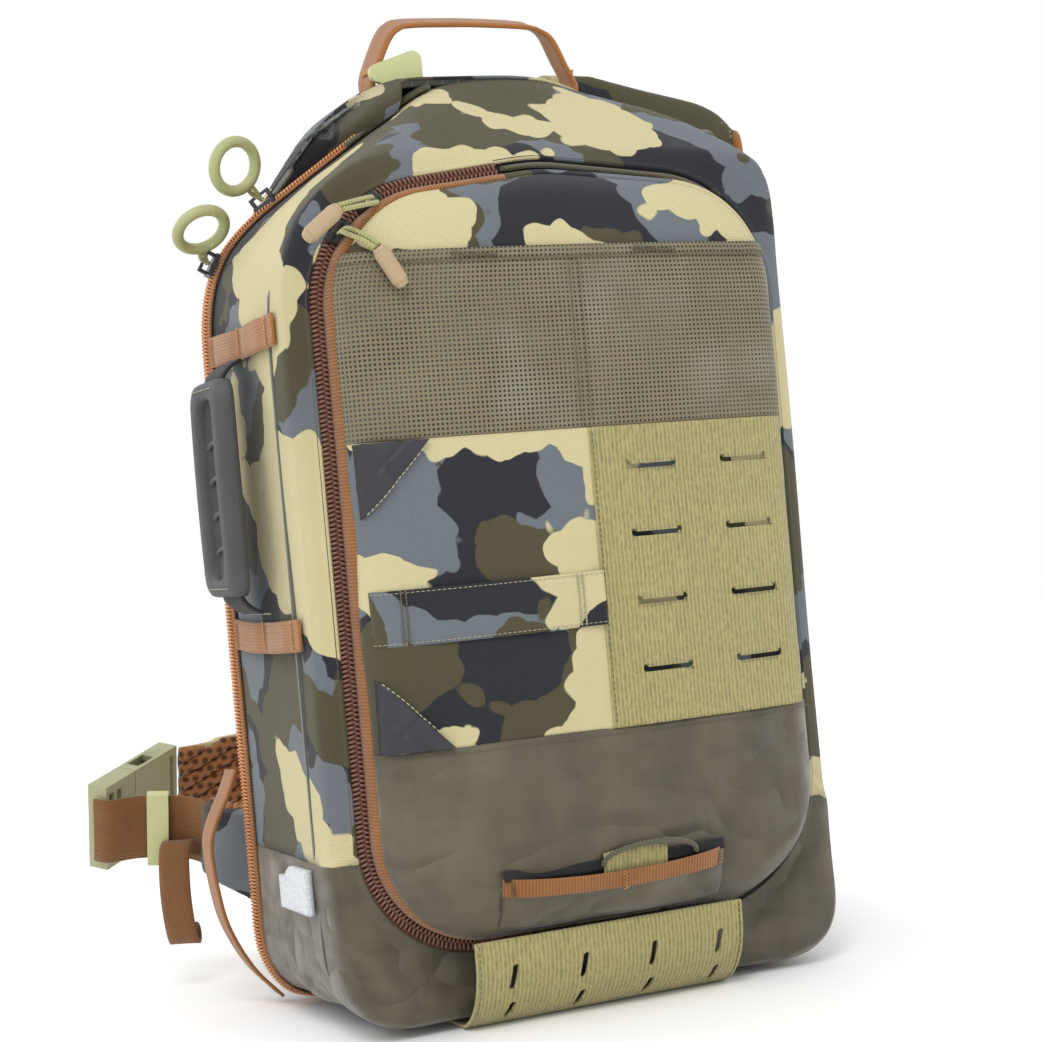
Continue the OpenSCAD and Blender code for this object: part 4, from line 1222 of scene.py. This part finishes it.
def zip_end_cover():
    """Camo cloth over the top end of the main zip, sewn to the ridge."""
    ring = around(0, 1.0)
    k = np.where((ring[:, 0] > -72) & (ring[:, 0] < -28) & (ring[:, 2] > 400))[0]
    rows = [around(-10 + 20 * f, 2.0 + 1.6 * math.sin(f * math.pi))[k] for f in np.linspace(0, 1, 12)]
    grid("zip_end_cover", np.stack(rows, axis=1), "camo_rear", "harness", thick=1.2, out=(0, 40, 235))


def hinge_gusset():
    """Folded cloth bridging the hinge side of the main seam."""
    front, mid, rear = around(-5.0, 0.9), around(0.0, 1.9), around(5.0, 0.9)
    k = np.where((front[:, 0] > 100) & (front[:, 2] > 20) & (front[:, 2] < 400))[0]
    front, mid, rear = front[k], mid[k], rear[k]
    p = np.stack([front, front * 0.4 + mid * 0.6, mid, mid * 0.6 + rear * 0.4, rear], axis=1)
    ob = grid("hinge_side_welt", p, "dark", None, thick=0.8, out=(0, 40, 235))
    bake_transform(ob)


def on_side(side, y, z, lift):
    """Points on the side wall at (y, z), lift above the shell."""
    y, z = np.broadcast_arrays(np.asarray(y, float), np.asarray(z, float))
    s = np.stack([np.full(y.shape, side * 70.0), y, z], axis=-1)
    way = np.zeros_like(s)
    way[..., 0] = side
    return cast(s, way) + way * np.asarray(lift)[..., None]


def side_loops():
    """Two copper webbing loops on each side wall, tacked down at three places."""
    tacks = np.array([-48.0, -2.0, 47.0])
    y = np.linspace(-56, 53, 56)
    near = np.abs(y[:, None] - tacks[None]).min(axis=1)
    ends = np.clip(smooth_step(y, -48, -56) + smooth_step(y, 47, 53), 0, 1)
    lift = 1.6 + 1.6 * smooth_step(near, 2, 14) * (1 - ends) - 0.5 * ends
    for side, tag in ((-1, "left"), (1, "right")):
        for z in (351, 201):
            path = on_side(side, y, z - 1.4 * np.sin((y + 50) / 100 * math.pi), lift)
            ob = band(f"side_loop_{tag}_{z}", path, (0, 0, 1), 16, 1.5, "copper", "front")
            if z == 351:
                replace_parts(ob, "side_loops_" + tag)
            for j, t in enumerate(tacks):
                bartack(f"side_loop_tack_{tag}_{z}_{j}", on_side(side, t, z, 3.0), (0, 0, 1), (0, 1, 0),
                        "front", 14, 1.6, "copper_thread", 0.4)


def patch():
    """Plain reflective patch at the top of the satin, on the zip side."""
    y, z = np.meshgrid(np.linspace(-46, -2, 24), np.linspace(0, 1, 16), indexing="ij")
    top = 85.5 - 6 * smooth_step(y, -22, -8)
    p = on_side(-1, y, 63 + (top - 63) * z, np.full(y.shape, 6.4))
    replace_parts(grid("reflective_print", p, "reflective", "front", thick=3.6), "reflective_patch")


def rounded(w, h, r, n=72):
    """Points evenly along a rounded rectangle."""
    corner = [(sx * (w / 2 - r), sz * (h / 2 - r), r) for sx in (-1, 1) for sz in (-1, 1)]
    return Outline(*corner).loop(n, 0, 0)[0]


def side_grip():
    """Moulded grip with a long recess, cross ribs and stitched ends."""
    mid, shift = np.array([3.0, 277.0]), np.array([2.0, 0])
    outer, inner = rounded(50, 110, 9), rounded(24, 90, 9)

    def ring(q, x):
        return np.stack([np.broadcast_to(x, len(q)), *q.T], axis=1)

    rows = [ring(outer * f + mid, -155.0) for f in (0.05, 0.6, 1.0)]
    for f, x in ((0.0, -157.5), (0.02, -161), (0.1, -163.4), (0.22, -164.4), (0.62, -164.2), (0.8, -163.6),
                 (0.92, -161.8), (0.98, -159.6), (1.0, -158.8)):
        q = outer * (1 - f) + inner * f + mid + shift * f
        rows.append(ring(q, x - 0.8 * np.sin((q[:, 1] - 222) / 110 * math.pi)))
    rows += [ring(inner * f + mid + shift, -158.4) for f in (0.7, 0.4, 0.05)]
    ob = grid("grip_moulding", np.stack(rows, axis=1), "grip", "grip", wrap=True, out=(-158, 3, 277))
    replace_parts(ob, "side_grip")
    for k, z in enumerate((244, 262, 280, 298)):
        pts = [(-159.2, 4.8 + 11 * math.cos(a) * 0.98, z + 3.0 * math.sin(a))
               for a in np.linspace(0, math.pi, 9)]
        tube(f"grip_rib_{k}", pts, 1.5, "grip", "grip", 6)
    y_sewn = np.linspace(-15, 21, 14)
    for k, z in enumerate((226.5, 327.5)):
        stitches(f"grip_stitches_{k}", [(-164.9, y, z) for y in y_sewn], "grip", "pale_thread", 2.4, 1.7, 0.28)
    for k, (z, s) in enumerate(((222.0, -1), (332.0, 1))):
        path = spline([(-147.0, 3, z + s * 9), (-152.5, 3, z + s * 6), (-156.5, 3, z + s * 1.5),
                       (-158, 3, z - s * 4)], 16)
        ob = band(f"grip_anchor_{k}", path, (0, 1, 0), 34, 1.8, "dark", "front")
        if k == 0:
            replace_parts(ob, "grip_tabs")
        stitches(f"grip_anchor_stitches_{k}", on_side(-1, y_sewn, z + s * 10.0, 2.4), "front", "pale_thread",
                 2.0, 1.5, 0.4)


# ---------------------------------------------------------------- soft padded pieces
def box_uv(ob):
    """Cloth coordinates from the plane each face looks along."""
    me = ob.data
    layer = me.uv_layers.get("cloth") or me.uv_layers.new(name="cloth")
    corner = np.empty(len(me.loops), np.int32)
    me.loops.foreach_get("vertex_index", corner)
    count = np.empty(len(me.polygons), np.int32)
    me.polygons.foreach_get("loop_total", count)
    axis = np.repeat(np.abs([p.normal[:] for p in me.polygons]).argmax(axis=1), count)
    c = points(me)[corner] * MM
    u = np.where(axis == 0, c[:, 1], c[:, 0])
    v = np.where(axis == 2, c[:, 1], c[:, 2])
    layer.data.foreach_set("uv", np.stack([u, v], axis=1).ravel())


PILLOWS = []


def pillow(name, node, mat, body, cap, voxel, shrink, fill, crease=None):
    """A padded copy of a CAD solid, to be blown up as cloth. crease moves its points afterwards (mm)."""
    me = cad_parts[node].data.copy()
    me.name = name
    me.materials.clear()
    me.materials.append(M[mat])
    ob = bpy.data.objects.new(name, me)
    bpy.context.collection.objects.link(ob)
    mod = ob.modifiers.new("remesh", "REMESH")
    mod.mode, mod.voxel_size, mod.use_smooth_shade = "VOXEL", voxel * MM, True
    bake(ob)
    put(ob, points(ob.data) - vertex_normals(ob) * shrink)
    PILLOWS.append((ob, mat, body, node, cap, fill, crease, points(ob.data)))
    cloth = ob.modifiers.new("cloth", "CLOTH")
    s = cloth.settings
    s.quality, s.mass, s.use_pressure, s.uniform_pressure_force = 4, 0.3, True, 4.0
    s.tension_stiffness = s.compression_stiffness = 12
    s.effector_weights.gravity = 0


def bake(ob):
    """Applies the object's modifiers to its mesh."""
    dg = bpy.context.evaluated_depsgraph_get()
    dg.update()
    me = bpy.data.meshes.new_from_object(ob.evaluated_get(dg))
    old = ob.data
    ob.modifiers.clear()
    ob.data = me
    me.name = old.name
    bpy.data.meshes.remove(old)


def points(me):
    """The mesh's points in mm."""
    co = np.empty(len(me.vertices) * 3)
    me.vertices.foreach_get("co", co)
    return co.reshape(-1, 3) / MM


def vertex_normals(ob):
    return np.array([v.normal[:] for v in ob.data.vertices])


def put(ob, p):
    ob.data.vertices.foreach_set("co", (np.asarray(p) * MM).ravel())
    ob.data.update()


def blow_up():
    """Runs the cloth on all padded pieces at once, caps it, then adds their sewn channels."""
    shapes = [points(ob.data) for ob, *_ in PILLOWS]
    for f in range(1, 21):
        bpy.context.scene.frame_set(f)
    dg = bpy.context.evaluated_depsgraph_get()
    shapes = [points(ob.evaluated_get(dg).to_mesh()) for ob, *_ in PILLOWS]
    for (ob, mat, body, node, cap, fill, crease, rest), p in zip(PILLOWS, shapes):
        ob.modifiers.clear()
        move = p - rest
        far = np.linalg.norm(move, axis=1)[:, None] + 1e-9
        put(ob, rest + move * np.minimum(1, cap / far))
        if crease:
            put(ob, crease(points(ob.data), vertex_normals(ob)))
        smooth = ob.modifiers.new("smooth", "SUBSURF")
        smooth.levels = smooth.render_levels = 1
        bake(ob)
        box_uv(ob)
        ob.data.polygons.foreach_set("use_smooth", [True] * len(ob.data.polygons))
        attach(ob, body)
        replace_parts(ob, node)
    bpy.context.scene.frame_set(1)


BELT_Y, BELT_Z, TILT = 96.0, 75.0, math.radians(17)


def tilt(p):
    """Turns points with the hip belt's slope."""
    y, z = p[..., 1] - BELT_Y, p[..., 2] - BELT_Z
    return np.stack([p[..., 0], BELT_Y + y * math.cos(TILT) - z * math.sin(TILT),
                     BELT_Z + y * math.sin(TILT) + z * math.cos(TILT)], axis=-1)


def untilt(p):
    """Undoes tilt."""
    y, z = p[..., 1] - BELT_Y, p[..., 2] - BELT_Z
    return np.stack([p[..., 0], BELT_Y + y * math.cos(TILT) + z * math.sin(TILT),
                     BELT_Z - y * math.sin(TILT) + z * math.cos(TILT)], axis=-1)


TILT_UP = np.array([0, -math.sin(TILT), math.cos(TILT)])


def groove(depth, width, *lines):
    """A crease function: channels sewn along straight lines, each (point, direction) in the x-z plane."""
    def cut(p, nrm):
        for at, way in lines:
            way = unit(np.asarray(way, float))
            d = (p[:, 0] - at[0]) * -way[1] + (p[:, 2] - at[1]) * way[0]
            p = p - nrm * (depth * np.exp(-(d / width) ** 2))[:, None] * (np.abs(nrm[:, 1:2]) > 0.5)
        return p
    return cut


def wing_channels(p, nrm):
    """Two sewn channels along the far wing."""
    d = untilt(p)[:, 2] - BELT_Z
    for at in (-20.0, 20.0):
        p = p - nrm * (1.2 * np.exp(-((d - at) / 1.6) ** 2))[:, None]
    return p


def near_wing_channels(p, nrm):
    """One sewn channel across the near wing."""
    return p - nrm * (1.3 * np.exp(-((p[:, 0] + 121) / 1.5) ** 2))[:, None]


def pads():
    """All padded pieces: cap on the swelling, voxel, shrink, fill and channels of each."""
    across = groove(3.0, 4.0, ((0, 240), (1, 0)), ((0, 305), (1, 0)), ((0, 370), (1, 0)))
    upwards = groove(3.0, 3.5, ((-36, 112), (0, 1)), ((36, 112), (0, 1)))
    along = groove(1.6, 2.0, ((102, 295), (52, 110)), ((34, 208), (84, 64)))
    for name, node, mat, body, *rest in (
            ("back_pad_cloth", "back_pad", "air", "harness", 5.0, 5.0, 2.0, 0.6, across),
            ("lumbar_pad_cloth", "lumbar_pad", "air", "harness", 5.0, 5.0, 2.0, 0.8, upwards),
            ("strap_pad_cloth", "strap_pad", "camo_strap", "strap", 3.0, 5.0, 1.0, 0.7, along),
            ("strap_lining_cloth", "strap_lining", "air", "strap", 0.6, 3.0, 0.1, 0.5),
            ("belt_wing_near_cloth", "belt_wing_near", "camo_strap", "belt", 1.6, 3.0, 0.7, 0.8,
             near_wing_channels),
            ("belt_wing_far_cloth", "belt_wing_far", "camo_strap", "belt", 1.2, 3.4, 0.9, 0.8, wing_channels),
            ("belt_lining_cloth", "belt_linings", "air", "belt", 0.5, 2.6, 0.05, 0.5,
             lambda p, nrm: p + nrm * 2.4)):
        pillow(name, node, mat, body, *rest)
    blow_up()


# ---------------------------------------------------------------- webbing, handle and belt
def handle():
    """Haul handle: a tilted loop of webbing with its feet tacked to the rear tray."""
    y = 25.5
    line = ((-52.4, 484), (-51.6, 491), (-47.5, 501), (-41, 513.5), (-35, 519.6), (-27, 521.8), (-5, 522.6),
            (12, 522.8), (40, 522), (49, 520), (56, 514.5), (62.5, 501), (67, 491), (68.4, 484))
    path = spline([(x, y, z) for x, z in line], 110)
    ob = band("haul_handle_webbing", path, (0, 0.93, 0.36), 19, 2.6, "copper", None)
    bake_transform(ob)
    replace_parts(ob, "haul_handle", "handle_feet")
    for k, x in enumerate((-52.3, 67.1)):
        bartack(f"handle_tack_{k}", (x, y, 494.5), (0, 1, 0), (0.3, 0, 1), "harness", 16, 3.2,
                "copper_thread", 0.42)


ROOT_OUT = Outline((70, 440, 62), (140, 426, 60))
SHORTEST_CORD, TAIL_TURN = 0.03, math.radians(55)


def strap_root():
    """Padded root of the shoulder strap, lying over the ridge, with a bound outer edge."""
    x = np.linspace(62, 181, 60)
    line = spline([(0, 40, 482), (0, 40.4, 492), (0, 44, 498), (0, 60, 499), (0, 80, 497.6), (0, 92, 494.2),
                   (0, 100.4, 488), (0, 103.8, 481), (0, 103.6, 475)], 44)
    drop = np.maximum(499 - ROOT_OUT.high(x, 1) + 2.5 * smooth_step(np.abs(x - 120), 50, 62), 0)
    z = line[None, :, 2] - drop[:, None]
    p = np.stack(np.broadcast_arrays(x[:, None], line[None, :, 1], z), axis=2)
    p[..., 2] += soft(p, 51, 34, 0.9)
    ob = grid("strap_root_cloth", p, "camo_rear", "harness", thick=7.0, out=(110, 60, 440))
    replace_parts(ob, "strap_root")
    tube("strap_root_binding", p[-1, 1:] + np.array([0, 0, -2.4]), 3.0, "copper", "harness", 8)
    stitches("strap_root_stitches", p[-3, 3:] + np.array([0, 0, 0.3]), "harness", "pale_thread", 3.0, 2.1, 0.3)


def pull_cords():
    """Doubled braided cords from each slider's bail to its ring or moulded end."""
    for node, body, a, b, off in (
            ("front_pull_upper", "front_pull_a", (-94.12, -73.8, 409.0), (-118, -97.5, 403), (-1.2, 0, 1.2)),
            ("front_pull_lower", "front_pull_b", (-110.25, -73.8, 394.48), (-101, -99, 384), (1.2, 0, 0.9)),
            ("main_pull_upper", "main_pull_a", (-110.72, 43.6, 430.82), (-118.6, 38.4, 437.9), (0.9, -1.1, 0.3)),
            ("main_pull_lower", "main_pull_b", (-138.52, 60, 399.95), (-142.6, 51.2, 406.6), (1.2, 0.3, 0.9))):
        a, b, off = (np.array(v, float) for v in (a, b, off))
        out = np.array([0, -9.0, 0]) if "front" in node else (b - a) * 0.3 + np.array([-2.0, 0, 1.0])
        for k, s in enumerate((-1, 1)):
            path = spline([a - off * s * 0.4 - out * 0.1, a + off * s + out * 0.9,
                           (a + b) / 2 + off * s + out * 0.7, b + off * s * 0.8], 40)
            ob = tube(f"{node}_cord_{k}", path, 1.25, "cord", body, 8)
            if k == 0:
                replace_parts(ob, node)


def strap_bridge():
    """Cloth over the strap's fold, where the root meets the pad."""
    path = spline([(0, 98.5, 486), (0, 100.4, 479), (0, 100.6, 472), (0, 99.8, 462)], 14)
    x = np.linspace(66, 178, 30)
    edge = 1 - 0.5 * smooth_step(np.abs(x - 122), 46, 56)
    rows = [np.stack([x, y + 4.2 * edge, np.full(len(x), z)], axis=1) for _, y, z in path]
    ob = grid("strap_fold_cloth", np.stack(rows, axis=1), "camo_strap", None, thick=7.6, out=(120, 60, 474))
    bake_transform(ob)


def lower_strap():
    """Copper strap at the lower left of the rear tray."""
    line = ((-146.5, 73, 128), (-152, 72, 116), (-160, 72, 101), (-163.4, 72, 88), (-161.5, 72, 64),
            (-157, 72, 44), (-146, 72, 22), (-131, 72, 4.2))
    ob = band("lower_strap_webbing", spline(line, 50), (0, 1, 0.08), 17, 1.8, "copper", "harness")
    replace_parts(ob, "lower_side_strap")


def belt_parts():
    """Belt webbing in a curved run towards the buckle's male half, and its rolled tail."""
    line = spline([(-141, 128, BELT_Z), (-147, 141, BELT_Z), (-153, 150, BELT_Z), (-160, 154.6, BELT_Z),
                   (-170, 158.6, BELT_Z), (-182, 160.8, BELT_Z), (-197, 160.0, BELT_Z),
                   (-203.5, 165.5, BELT_Z)], 50)
    path = tilt(line)
    ob = band("belt_webbing_run", path, TILT_UP, 38, 2.0, "brown", None)
    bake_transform(ob)
    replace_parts(ob, "belt_webbing")
    line = spline([(19, 0, -3), (14, 0, 5), (8, 0, 6.5), (2.5, 0, 2), (0, 0, -8), (-1, 0, -22), (0.8, 0, -36),
                   (4.4, 0, -47), (8.4, 0, -50.5), (10.4, 0, -46.5), (8.6, 0, -41), (5.2, 0, -39.5),
                   (4.0, 0, -42.5)], 90)
    way = np.array([math.cos(TAIL_TURN), math.sin(TAIL_TURN), 0])
    roll = np.array([-167, 135, 78]) + line[:, :1] * way + line[:, 2:] * np.array([0, 0, 1])
    ob = band("webbing_tail_roll", roll, (-way[1], way[0], 0), 18, 1.7, "brown", "tail")
    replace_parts(ob, "webbing_tail")


def bevelled(node, mat, width):
    """Gives a CAD piece its material and rounds its edges."""
    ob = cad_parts[node]
    for s in ob.material_slots:
        s.material = M[mat]
    if not ob.material_slots:
        ob.data.materials.append(M[mat])
    mod = ob.modifiers.new("edge", "BEVEL")
    mod.width, mod.segments, mod.limit_method, mod.angle_limit = width * MM, 2, "ANGLE", math.radians(35)
    mod.harden_normals = False


def hard_parts():
    """Moulded and flat pieces shown straight from the CAD."""
    for mat, width, nodes in (
            ("buckle", 0.9, ("buckle_male", "buckle_female")),
            ("buckle", 0.5, ("buckle_prong_upper", "buckle_prong_lower")),
            ("sage", 0.5, ("belt_keeper",)),
            ("sage", 0.9, ("handle_tab",)),
            ("metal", 0.5, ("front_slider_upper", "front_slider_lower", "main_slider_upper",
                            "main_slider_lower")),
            ("tan", 0.5, ("front_end_upper", "front_end_lower")),
            ("sage", 0.2, ("main_ring_upper", "main_ring_lower")),
            ("lining", 0.4, ("divider_wall",)),
            ("foam", 0.4, ("base_foam",)),
            ("mesh", 0.4, ("inner_mesh_pocket",)),
            ("sheet", 0.4, ("frame_sheet",))):
        for node in nodes:
            bevelled(node, mat, width)


def main():
    make_camera()
    studio()
    flap_skin()
    mesh_panel()
    camo_pocket()
    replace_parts(tuck("corner_tuck_top", 290.6, 1), "corner_tucks")
    tuck("corner_tuck_low", 141.4, -1)
    for build in (daisy, slot_panel, nylon_front, lower_pocket, rim_binding, front_zip, hinge_strip,
                  front_shell, base_panel, rear_shell, main_zip, zip_end_cover, hinge_gusset, side_loops,
                  patch, side_grip, handle, strap_root, pull_cords, strap_bridge, lower_strap, belt_parts,
                  hard_parts, pads):
        build()


main()
